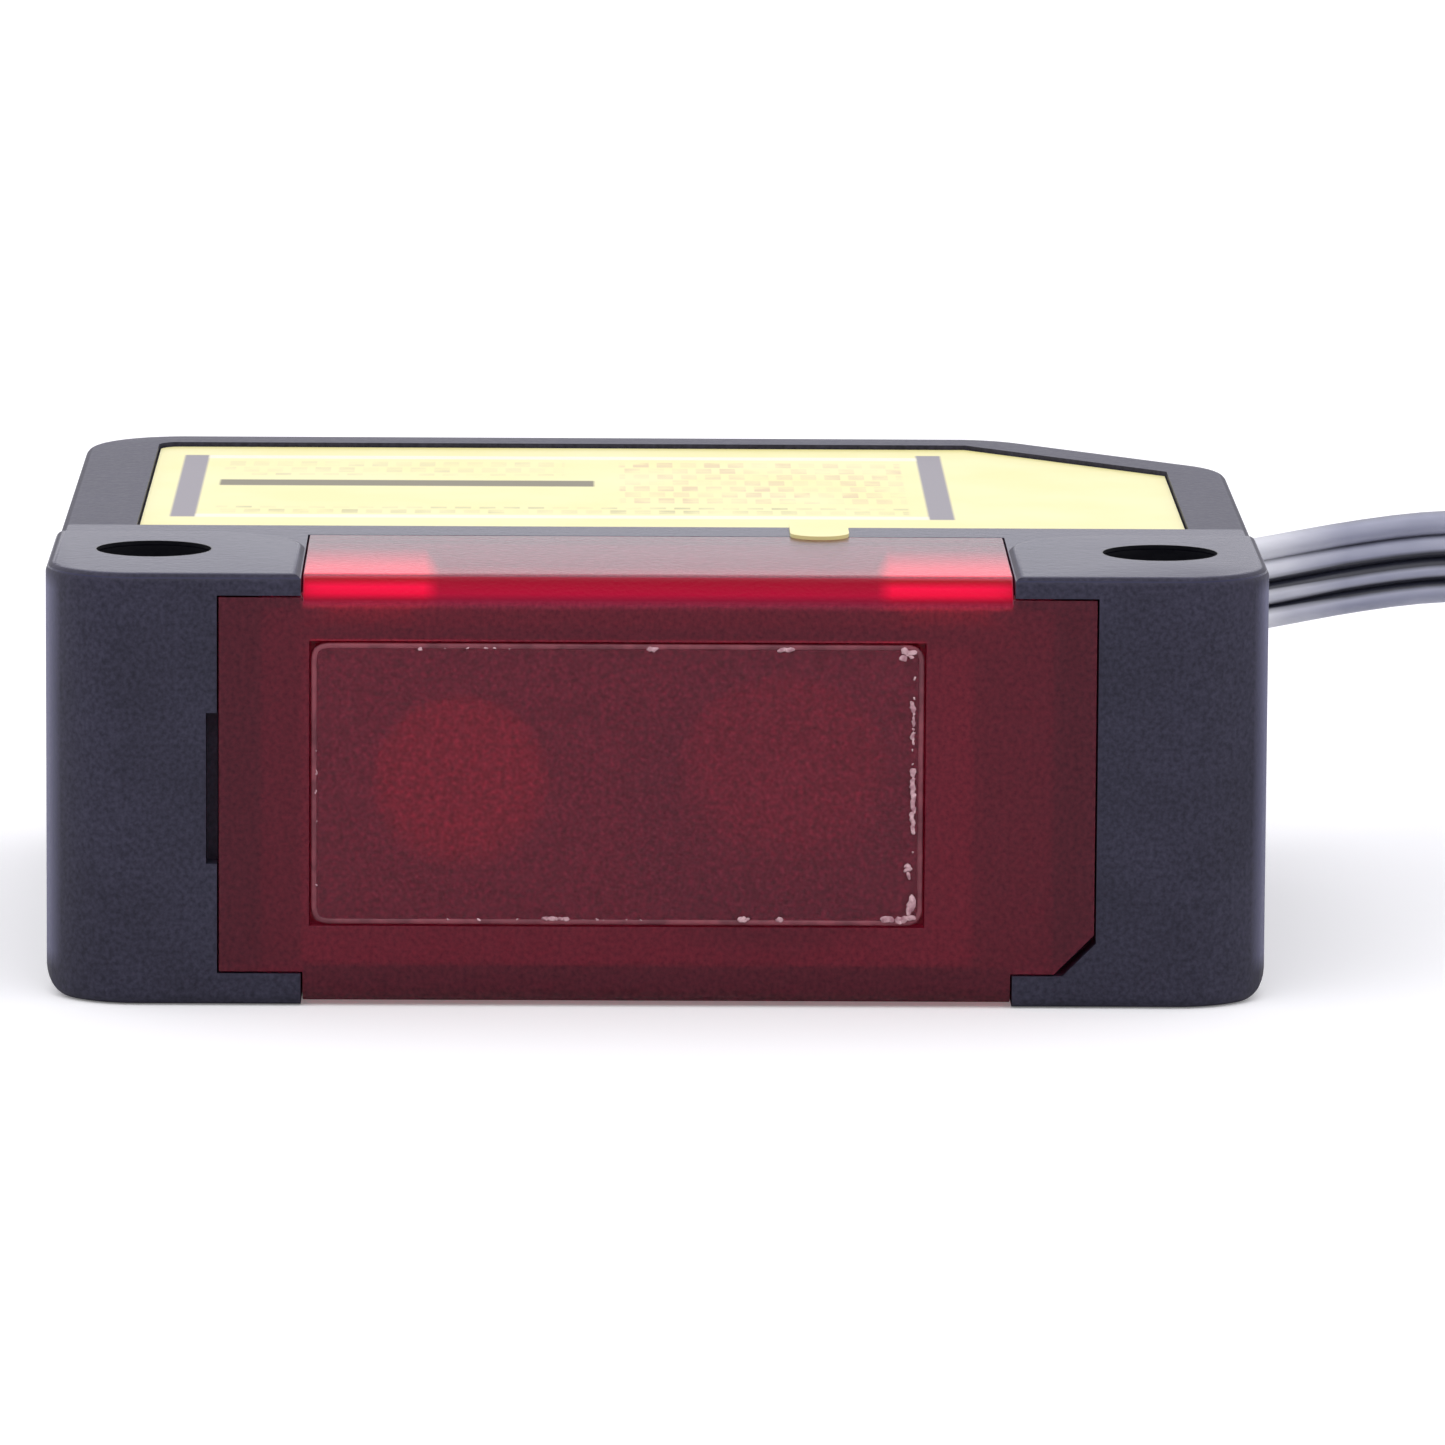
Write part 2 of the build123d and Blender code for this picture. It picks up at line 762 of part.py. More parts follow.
# Shield can: folded sheet metal over the receiver amplifier, open towards the board
board_back = Plane.XZ.offset(-optics_board_back_y)
shield_low_z = floor_wall + optics_board_lift + shield_foot_gap
shield_high_z = board_low_z - shield_top_gap
shield_centre_z = (shield_low_z + shield_high_z) / 2
shield_height = shield_high_z - shield_low_z
with BuildPart() as shield_can:
    with BuildSketch(board_back):
        front_rectangle(receiver_x, shield_centre_z, shield_width, shield_height)
    extrude(amount=-shield_depth)
    with BuildSketch(board_back):
        front_rectangle(
            receiver_x,
            shield_centre_z,
            shield_width - 2 * shield_wall,
            shield_height - 2 * shield_wall,
        )
    extrude(amount=shield_wall - shield_depth, mode=Mode.SUBTRACT)
save(shield_can.part, "shield_can")

with BuildPart() as amplifier_chip:
    with BuildSketch(board_back):
        front_rectangle(receiver_x, shield_centre_z, amplifier_size, amplifier_size)
    extrude(amount=-amplifier_wall)
save(amplifier_chip.part, "amplifier_chip")


def link_pin_places():
    """The row of pins along the back of the optics board."""
    return [
        (
            block_left + link_pin_inset + link_pin_pitch * pin,
            optics_board_back_y + link_pin_width / 2,
        )
        for pin in range(link_pin_count)
    ]


# Link pins: soldered pins that join the optics board to the main board
with BuildPart() as link_pins:
    link_pin_low_z = board_low_z - link_pin_reach
    with BuildSketch(Plane.XY.offset(link_pin_low_z)):
        with Locations(*link_pin_places()):
            Rectangle(link_pin_width, link_pin_width)
    extrude(amount=board_top_z + link_pin_top - link_pin_low_z)
save(link_pins.part, "link_pins")

# Main board: lies under the lid, with a neck that reaches forward to the indicators
with BuildPart() as main_board:
    with BuildSketch(Plane.XY.offset(board_low_z)):
        bevelled_plan(-board_x, board_x, board_neck_y, board_back_y, board_bevel)
        with Locations((0, (board_front_y + board_neck_y) / 2)):
            Rectangle(2 * (channel_x - board_neck_gap), board_neck_y - board_front_y)
        with Locations(*link_pin_places()):
            link_hole = link_pin_width + 2 * pin_clearance
            Rectangle(link_hole, link_hole, mode=Mode.SUBTRACT)
    extrude(amount=board_wall)
save(main_board.part, "main_board")

for side, side_name in ((-1, "left"), (1, "right")):
    # Indicator: a light chip on the board, just under the cover's sloped top edge
    with BuildPart() as indicator:
        with BuildSketch(Plane.XY.offset(board_top_z)):
            indicator_y = board_front_y + indicator_inset + indicator_depth / 2
            with Locations((side * (tongue_x - indicator_end_gap), indicator_y)):
                Rectangle(indicator_width, indicator_depth)
        extrude(amount=indicator_height)
    save(indicator.part, f"indicator_{side_name}")


def chip_under_board(centre_x, centre_y, width, depth, wall):
    """A flat package on the lower face of the main board."""
    with BuildPart() as chip:
        with BuildSketch(Plane.XY.offset(board_low_z)):
            with Locations((centre_x, centre_y)):
                Rectangle(width, depth)
        extrude(amount=-wall)
    return chip.part


control_y = chip_area_y + control_step
control_chip = chip_under_board(control_x, control_y, control_size, control_size, control_wall)
save(control_chip, "control_chip")
driver_y = optics_board_back_y + shield_depth + driver_gap + driver_depth / 2
driver_chip = chip_under_board(driver_x, driver_y, driver_width, driver_depth, driver_wall)
save(driver_chip, "driver_chip")

# Board capacitors: two columns of small parts on the lower face of the main board
with BuildPart() as board_capacitors:
    with BuildSketch(Plane.XY.offset(board_low_z)):
        with Locations((-board_x + capacitor_edge_gap, chip_area_y)):
            with GridLocations(
                capacitor_pitch, capacitor_row_pitch, capacitor_columns, capacitor_rows
            ):
                Rectangle(capacitor_width, capacitor_depth)
    extrude(amount=-capacitor_height)
save(board_capacitors.part, "board_capacitors")

# Cable grommet: strain relief moulded on to the lead, held in the bevelled wall
with BuildPart() as cable_grommet:
    with BuildSketch(exit_plane.offset(-side_wall)):
        RectangleRounded(relief_flange_width, relief_flange_height, relief_collar)
    extrude(amount=-relief_flange_wall)
    with BuildSketch(exit_plane):
        Rectangle(relief_neck_width, relief_neck_height)
    extrude(amount=-side_wall)
    with BuildSketch(exit_plane):
        RectangleRounded(
            relief_neck_width + 2 * relief_collar,
            relief_neck_height + 2 * relief_collar,
            relief_tip_width / 2 - relief_gap,
        )
    with BuildSketch(exit_plane.offset(relief_length)):
        RectangleRounded(
            relief_tip_width, relief_tip_height, relief_tip_width / 2 - relief_gap
        )
    loft()
save(cable_grommet.part, "cable_grommet")

# Cable cores: four thin leads that fan out from the strain relief up to the main board
with BuildPart() as cable_cores:
    for core in range(contact_count):
        core_reach = core_first_reach + core_reach_step * core
        core_start_x = exit_x - diagonal * (side_wall + relief_flange_wall)
        core_start_y = exit_y - diagonal * (side_wall + relief_flange_wall)
        core_end_x = core_start_x - diagonal * core_reach
        core_end_y = core_start_y - diagonal * core_reach
        core_z = exit_z + core_pitch * ((contact_count - 1) / 2 - core)
        with BuildLine() as core_path:
            FilletPolyline(
                (core_start_x, core_start_y, core_z),
                (core_end_x, core_end_y, core_z),
                (core_end_x, core_end_y, board_low_z),
                radius=core_bend,
            )
        with BuildSketch(Plane(core_path.line @ 0, z_dir=core_path.line % 0)):
            Circle(core_radius)
        sweep(path=core_path.line)
save(cable_cores.part, "cable_cores")


def bend_radii(points):
    """The largest arc that fits each corner of a route, with a straight part left over."""
    radii = []
    for before, corner, after in zip(points, points[1:], points[2:]):
        run_in = Vector(*corner) - Vector(*before)
        run_out = Vector(*after) - Vector(*corner)
        half_turn = math.radians(run_in.get_angle(run_out)) / 2
        shorter_run = min(run_in.length, run_out.length)
        radii.append(bend_share * shorter_run / math.tan(half_turn))
    return radii


def flat_cord(points, name):
    """A flat lead on edge that follows a route of straight runs and tangent arcs."""
    radii = bend_radii(points)
    with BuildPart() as cord:
        with BuildLine() as cord_path:
            FilletPolyline(*points, radius=radii)
        with BuildSketch(Plane(points[0], x_dir=(0, 0, 1), z_dir=cord_path.line % 0)):
            SlotOverall(cord_width, cord_thickness)
        sweep(path=cord_path.line)
    length = sum(edge.length for edge in cord_path.edges())
    section = cord_thickness * (cord_width - cord_thickness) + math.pi * cord_thickness**2 / 4
    print(name, "bend radii", [round(radius, 1) for radius in radii])
    print(name, "length", round(length, 2))
    print(name, "volume", round(cord.part.volume, 2), "from section", round(section * length, 2))
    save(cord.part, name)
    return length


# Route of the lead, from the tip of the strain relief down to the coil
relief_tip = exit_plane.from_local_coords((0, 0, relief_length))
coil_layer_z = coil_lift + cord_width / 2
coil_start_y = coil_y + lower_outer_turn
route = (
    (relief_tip.X, relief_tip.Y, relief_tip.Z),
    (17.2, 15.56, relief_tip.Z),
    (19.1, 17.42, 7.32),
    (21.4, 19.5, 7.44),
    (24.0, 21.65, 7.47),
    (26.25, 23.48, 7.22),
    (28.6, 25.0, 6.58),
    (31.0, 26.28, 5.56),
    (33.4, 27.3, 4.3),
    (35.9, 28.1, 3.04),
    (38.6, 28.7, 2.15),
    (41.45, coil_start_y, coil_layer_z),
    (coil_x - coil_lead, coil_start_y, coil_layer_z),
)
route_length = flat_cord(route, "cable")

# Route of the tail, from the upper layer of the coil down to the plug
coil_end_x = coil_x + upper_outer_turn
tail = (
    (coil_end_x, coil_y - coil_lead, coil_layer_z + layer_pitch),
    (coil_end_x, coil_y - coil_lead - tail_start_run, coil_layer_z + layer_pitch),
    (71.28, -6.15, 4.25),
    (69.5, -9.45, 3.55),
    (68.5, -13.15, plug_height / 2),
    (68.5, -17.1, plug_height / 2),
)
tail_length = flat_cord(tail, "cable_tail")

# Coil: the outer shape of both layers of turns, with a lead-in and a lead-out
coil_inner_radius = coil_inner_turn - cord_thickness / 2
coil_outer_radius = upper_outer_turn + cord_thickness / 2
coil_height = layer_pitch + cord_width
with BuildPart() as cable_coil:
    with BuildSketch(Plane.XY.offset(coil_lift)):
        with Locations((coil_x, coil_y)):
            Circle(coil_outer_radius)
            Circle(coil_inner_radius, mode=Mode.SUBTRACT)
    extrude(amount=coil_height)
    with BuildSketch(Plane.XY.offset(coil_lift)):
        with Locations((coil_x - coil_lead / 2, coil_start_y)):
            Rectangle(coil_lead, cord_thickness)
    extrude(amount=cord_width)
    with BuildSketch(Plane.XY.offset(coil_lift + layer_pitch)):
        with Locations((coil_end_x, coil_y - coil_lead / 2)):
            Rectangle(cord_thickness, coil_lead)
    extrude(amount=cord_width)
save(cable_coil.part, "cable_coil")
coil_length = (
    math.pi * lower_turns * (lower_outer_turn + coil_inner_turn)
    + math.pi * upper_turns * (upper_outer_turn + coil_inner_turn)
    + 2 * coil_lead
)
print("lead length", round(route_length + tail_length + coil_length, 1))

# Coil tie: a band round the bundle of turns, which the coil rests on
with BuildPart() as coil_tie:
    bundle_width = coil_outer_radius - coil_inner_radius
    bundle_centre_y = coil_y - (coil_outer_radius + coil_inner_radius) / 2
    with BuildSketch(Plane.YZ.offset(coil_x - tie_width / 2)):
        with Locations((bundle_centre_y, coil_lift + (coil_height + tie_gap) / 2)):
            RectangleRounded(
                bundle_width + 2 * tie_gap + 2 * coil_lift,
                coil_height + tie_gap + 2 * coil_lift,
                2 * coil_lift,
            )
            Rectangle(
                bundle_width + 2 * tie_gap, coil_height + tie_gap, mode=Mode.SUBTRACT
            )
    extrude(amount=tie_width)
save(coil_tie.part, "coil_tie")

# Plug: body with four slots, a pressed-on cover over the cores, and four contacts
plug_x = tail[-1][0]
plug_back_y = tail[-1][1]
plug_front_y = plug_back_y - plug_length
plug_face = Plane.XZ.offset(-plug_front_y)
plug_step_z = plug_height - plug_cover_height
contact_x = [
    plug_x + contact_pitch * (contact - (contact_count - 1) / 2)
    for contact in range(contact_count)
]
contact_slot_width = contact_width + 2 * pin_clearance
contact_slot_z = plug_floor + contact_height / 2
with BuildPart() as plug_body:
    with BuildSketch(Plane.XY):
        with Locations((plug_x, plug_back_y - plug_length / 2)):
            Rectangle(plug_width, plug_length)
    extrude(amount=plug_height)
    fillet(plug_body.edges().filter_by(Axis.Y), plug_edge)
    with BuildSketch(Plane.XY.offset(plug_step_z)):
        with Locations((plug_x, plug_back_y - plug_cover_length / 2)):
            Rectangle(plug_width, plug_cover_length)
    extrude(amount=plug_cover_height, mode=Mode.SUBTRACT)
    with BuildSketch(plug_face):
        for slot_x in contact_x:
            front_rectangle(slot_x, contact_slot_z, contact_slot_width, contact_height)
    extrude(amount=-contact_slot_depth, mode=Mode.SUBTRACT)
    with BuildSketch(Plane.XY.offset(plug_height)):
        with Locations((plug_x, plug_front_y + plug_latch_length / 2 + plug_edge)):
            Rectangle(plug_latch_width, plug_latch_length)
    extrude(amount=plug_latch_height)
    latch_front = plug_body.edges().group_by(Axis.Z)[-1].sort_by(Axis.Y)[0]
    chamfer(latch_front, plug_latch_height / 2)
save(plug_body.part, "plug_body")

with BuildPart() as plug_cover:
    with BuildSketch(Plane.XY.offset(plug_step_z)):
        with Locations((plug_x, plug_back_y - plug_cover_length / 2)):
            Rectangle(plug_width, plug_cover_length - fit_gap)
    extrude(amount=plug_cover_height)
    fillet(plug_cover.edges().filter_by(Axis.Y).group_by(Axis.Z)[-1], plug_edge)
    with BuildSketch(Plane.XY.offset(plug_height)):
        with Locations((plug_x, plug_back_y - plug_cover_length / 2)):
            with GridLocations(0, plug_rib_pitch, 1, plug_rib_count):
                Rectangle(plug_width, plug_rib_width)
    extrude(amount=-plug_rib_depth, mode=Mode.SUBTRACT)
save(plug_cover.part, "plug_cover")

with BuildPart() as plug_contacts:
    with BuildSketch(plug_face.offset(-plug_edge)):
        for slot_x in contact_x:
            low_z = plug_floor + contact_wall / 2
            front_rectangle(slot_x, low_z, contact_width, contact_wall)
    extrude(amount=-contact_reach)
save(plug_contacts.part, "plug_contacts")
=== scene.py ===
# %% [markdown]
# A small laser sensor head lies on its large face on a pale table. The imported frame
# brings every solid of the real product at its true size, in metres. This lesson
# dresses it: the lead becomes a ribbed four-strand cable, the solids that show get
# softened edges, and every surface gets the finish of the material it is made of.

# %% The frame and the box it must stay in
import math
import random

import bmesh
import bpy
from mathutils import Matrix, Vector


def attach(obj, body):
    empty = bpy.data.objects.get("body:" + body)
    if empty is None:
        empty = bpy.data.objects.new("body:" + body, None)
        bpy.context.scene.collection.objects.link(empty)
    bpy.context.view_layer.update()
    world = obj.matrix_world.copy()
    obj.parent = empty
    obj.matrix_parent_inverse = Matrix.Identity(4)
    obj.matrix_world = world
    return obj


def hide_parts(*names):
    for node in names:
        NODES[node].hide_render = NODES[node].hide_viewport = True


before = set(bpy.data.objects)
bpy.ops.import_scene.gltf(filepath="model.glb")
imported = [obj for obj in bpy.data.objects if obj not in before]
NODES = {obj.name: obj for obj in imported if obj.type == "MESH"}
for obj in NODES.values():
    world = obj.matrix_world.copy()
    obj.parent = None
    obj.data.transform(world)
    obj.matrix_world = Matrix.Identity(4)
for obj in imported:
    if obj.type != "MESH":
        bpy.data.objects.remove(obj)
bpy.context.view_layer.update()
MM = 0.001
print("frame loaded with", len(NODES), "nodes")

# %% [markdown]
# The photograph was taken with a long lens from slightly above, so parallel edges hardly
# converge. The camera stands where a fit to the outline and the two holes put it: about
# a third of a metre away, tipped down by nine degrees. Its three axes are written as
# rows that point right, down and forward in the picture.

# %% Camera
CAMERA_PLACE = Vector((-2.34, -324.40, 56.11)) * MM
CAMERA_RIGHT = Vector((0.99990474, -0.01236375, 0.00613598))
CAMERA_DOWN = Vector((0.00415962, -0.15396205, -0.98806801))
CAMERA_AHEAD = Vector((0.01316093, 0.98799941, -0.15389596))
PICTURE_WIDTH = 1445
FOCAL_PIXELS = 11400
SENSOR_MM = 36

camera_data = bpy.data.cameras.new("studio_camera")
camera_data.sensor_width = SENSOR_MM
camera_data.lens = FOCAL_PIXELS * SENSOR_MM / PICTURE_WIDTH
camera_data.clip_start = 0.02
camera_data.clip_end = 20
camera = bpy.data.objects.new("studio_camera", camera_data)
bpy.context.scene.collection.objects.link(camera)
turn = Matrix((CAMERA_RIGHT, -CAMERA_DOWN, -CAMERA_AHEAD)).transposed()
camera.matrix_world = Matrix.Translation(CAMERA_PLACE) @ turn.to_4x4()
bpy.context.scene.camera = camera
print("lens", round(camera_data.lens, 1), "mm")

# %% [markdown]
# Five small helpers serve every step. One turns the hex value of a colour, as a paint
# card gives it, into the linear light that shaders use. One adds a node: an input is
# linked if it is given another node's socket, and set if it is given a value. Two start
# a geometry tree with named inputs, and run it on a piece. The last adds an object.


# %% Helpers for colours and nodes
def paint(code):
    """The linear red, green, blue and alpha of an sRGB hex colour."""
    parts = [int(code[i : i + 2], 16) / 255 for i in (1, 3, 5)]
    linear = [c / 12.92 if c <= 0.04045 else ((c + 0.055) / 1.055) ** 2.4 for c in parts]
    return (*linear, 1.0)


def put(tree, kind, inputs=None, **settings):
    """Add a node with its settings, its links and the values of its other inputs."""
    node = tree.nodes.new(kind)
    for name, value in settings.items():
        setattr(node, name, value)
    for name, value in (inputs or {}).items():
        if isinstance(value, bpy.types.NodeSocket):
            tree.links.new(value, node.inputs[name])
        else:
            node.inputs[name].default_value = value
    return node


def new_recipe(name, inputs):
    """An empty geometry tree with named inputs, and its input and output nodes."""
    tree = bpy.data.node_groups.new(name, "GeometryNodeTree")
    face = tree.interface
    face.new_socket("Geometry", in_out="INPUT", socket_type="NodeSocketGeometry")
    for label, kind in inputs.items():
        face.new_socket(label, in_out="INPUT", socket_type="NodeSocket" + kind)
    face.new_socket("Geometry", in_out="OUTPUT", socket_type="NodeSocketGeometry")
    return tree, tree.nodes.new("NodeGroupInput").outputs, tree.nodes.new("NodeGroupOutput")


def run_recipe(piece, tree, values):
    """Run a tree on a piece with its inputs set, and keep the result as a plain mesh."""
    modifier = piece.modifiers.new(tree.name, "NODES")
    modifier.node_group = tree
    for item in tree.interface.items_tree:
        if item.in_out == "INPUT" and item.name in values:
            modifier[item.identifier] = values[item.name]
    bpy.context.view_layer.update()
    graph = bpy.context.evaluated_depsgraph_get()
    made = bpy.data.meshes.new_from_object(piece.evaluated_get(graph))
    piece.modifiers.remove(modifier)
    piece.data = made
    print(piece.name, "has", len(made.vertices), "points")


def new_piece(name, mesh):
    """A new object for a mesh, a line or a lamp, in the scene."""
    piece = bpy.data.objects.new(name, mesh)
    bpy.context.scene.collection.objects.link(piece)
    return piece


# %% [markdown]
# The lead is a flat ribbed cable: four thin strands in soft PVC, fused side by side, that
# stand on edge. It leaves the strain relief in the bevelled corner, sinks under its own
# weight and runs along the table. The two metres that the photograph doesn't show are
# wound into a neat coil of two layers beside the body, just outside the view. Its path
# is one NURBS line whose control points are listed, and the coil's turns are
# more points of the same line.

# %% The line that the lead follows
ROUTE = [
    (15.378, 13.738, 7.25),
    (17.2, 15.56, 7.25),
    (19.1, 17.42, 7.32),
    (21.4, 19.5, 7.44),
    (24.0, 21.65, 7.47),
    (26.25, 23.48, 7.22),
    (28.6, 25.0, 6.58),
    (31.0, 26.28, 5.56),
    (33.4, 27.3, 4.3),
    (35.9, 28.1, 3.04),
    (38.6, 28.7, 2.15),
    (41.45, 29.0, 1.7),
    (44.0, 29.0, 1.7),
]
TAIL = [
    (72.2, 1.1, 4.55),
    (72.2, -2.5, 4.55),
    (71.28, -6.15, 4.25),
    (69.5, -9.45, 3.55),
    (68.5, -13.15, 3.1),
    (68.5, -17.1, 3.1),
]
COIL_X, COIL_Y = 51.0, 8.1
LOWER_Z, UPPER_Z = 1.7, 4.55
OUTER_TURN, INNER_TURN, LAST_TURN = 20.9, 11.1, 21.2
LOWER_TURNS, UPPER_TURNS = 9.5, 9.75
STEPS_A_TURN = 24
RISE_TURNS = 0.6
SWELL = 1 / math.cos(math.pi / STEPS_A_TURN)


def coil_point(turns):
    """A point of the coil, in mm, after so many turns clockwise from its back."""
    if turns <= LOWER_TURNS:
        radius = OUTER_TURN + (INNER_TURN - OUTER_TURN) * turns / LOWER_TURNS
        height = LOWER_Z
    else:
        upper = turns - LOWER_TURNS
        radius = INNER_TURN + (LAST_TURN - INNER_TURN) * upper / UPPER_TURNS
        climb = min(upper / RISE_TURNS, 1)
        height = LOWER_Z + (UPPER_Z - LOWER_Z) * climb * climb * (3 - 2 * climb)
    angle = math.pi / 2 - math.tau * turns
    reach = radius * SWELL
    return (COIL_X + reach * math.cos(angle), COIL_Y + reach * math.sin(angle), height)


coil_steps = round((LOWER_TURNS + UPPER_TURNS) * STEPS_A_TURN)
coil_points = [coil_point((step + 0.5) / STEPS_A_TURN) for step in range(coil_steps)]
line_data = bpy.data.curves.new("lead_line", "CURVE")
line_data.dimensions = "3D"
line_data.resolution_u = 4
spline = line_data.splines.new("NURBS")
line_points = ROUTE + coil_points + TAIL
spline.points.add(len(line_points) - 1)
for point, place in zip(spline.points, line_points):
    point.co = (place[0] * MM, place[1] * MM, place[2] * MM, 1)
spline.order_u = 3
spline.use_endpoint_u = True
line_object = new_piece("lead_line", line_data)
bpy.context.view_layer.update()
line_mesh = bpy.data.meshes.new_from_object(
    line_object.evaluated_get(bpy.context.evaluated_depsgraph_get())
)
LEAD_PATH = [vertex.co.copy() for vertex in line_mesh.vertices]
bpy.data.objects.remove(line_object)
lead_length = sum((b - a).length for a, b in zip(LEAD_PATH, LEAD_PATH[1:]))
print("lead", round(lead_length, 3), "m along", len(LEAD_PATH), "points")

# %% [markdown]
# Each real substance gets one material. `finish` starts it with its shader. A noise node
# shows about one spot per unit, so spots of a real size in millimetres need a scale of
# 1000 / size on coordinates in metres. `two_tones` clouds two close colours, `zone` is 1
# between two limits of a coordinate, and `relief` is bump with a real depth.


# %% Helpers for finishes
def finish(name, rough, metal=0.0, ior=1.5, level=0.5):
    """A new material, its tree, its shader's inputs and the object coordinates."""
    material = bpy.data.materials.new(name)
    material.use_nodes = True
    tree = material.node_tree
    shader = tree.nodes["Principled BSDF"].inputs
    shader["Roughness"].default_value = rough
    shader["Metallic"].default_value = metal
    shader["IOR"].default_value = ior
    shader["Specular IOR Level"].default_value = level
    place = tree.nodes.new("ShaderNodeTexCoord").outputs["Object"]
    return material, tree, shader, place


def two_tones(tree, place, size_mm, codes, low=0.35, high=0.65):
    """Clouds of one colour in another, with spots of a real size. Also their mask."""
    scale = {"Vector": place, "Scale": 1000 / size_mm, "Detail": 3}
    noise = put(tree, "ShaderNodeTexNoise", scale).outputs[0]
    limits = {0: noise, "From Min": low, "From Max": high}
    mask = put(tree, "ShaderNodeMapRange", limits).outputs[0]
    mixed = {0: mask, 6: paint(codes[0]), 7: paint(codes[1])}
    return put(tree, "ShaderNodeMix", mixed, data_type="RGBA").outputs[2], mask


def zone(tree, value, low_mm, high_mm, soft_mm=0.04):
    """1 where a coordinate lies between two limits in mm, with soft edges."""
    up = {0: value, "From Min": (low_mm - soft_mm) * MM, "From Max": (low_mm + soft_mm) * MM}
    down = {
        0: value,
        "From Min": (high_mm - soft_mm) * MM,
        "From Max": (high_mm + soft_mm) * MM,
        "To Min": 1,
        "To Max": 0,
    }
    ends = [put(tree, "ShaderNodeMapRange", limits).outputs[0] for limits in (up, down)]
    pair = {0: ends[0], 1: ends[1]}
    return put(tree, "ShaderNodeMath", pair, operation="MULTIPLY").outputs[0]


def relief(tree, shader, place, size_mm, depth_mm):
    """Fine bumps of a real size and depth, over any that are there already."""
    scale = {"Vector": place, "Scale": 1000 / size_mm, "Detail": 2}
    noise = put(tree, "ShaderNodeTexNoise", scale).outputs[0]
    bump = put(tree, "ShaderNodeBump", {"Height": noise, "Distance": depth_mm * MM})
    for link in shader["Normal"].links:
        tree.links.new(link.from_socket, bump.inputs["Normal"])
    tree.links.new(bump.outputs[0], shader["Normal"])


# %% [markdown]
# The body is a glass-filled polyester, PBT, moulded in a tool with a fine spark-eroded
# texture. It is a bluish charcoal. The matt grain spreads the light. The flat tops of the
# two ears and the bar behind the cover are smoother, because screws and the assembly jig
# press on them, so they mirror the pale room at a low angle. The shade inside the bores is
# painted in, nearly black, and the upright corners get a painted sheen: they are painted
# a little paler, for the bright room that they would mirror at a grazing angle.

# %% Finish of the moulded body
GRAIN_MM = 0.13  # the real grain is about 0.05 mm, and this size shows
PAD_TOP = (11.98, 13)
RIM_TOP = (11.86, 11.9)
BAR_DEPTH = (-20, -4.5)
# The two bores, in mm, whose inside is painted nearly black as painted shade
BORE_X, BORE_Y, BORE_RADIUS = 14.0, -10.2, 1.6
# The outer part of the upright front corners, in mm, where a painted sheen makes the body paler
CORNER_X, CORNER_Y, CORNER_Z = (16.2, 17.5), (-13.7, -12.3), (1.0, 11.6)


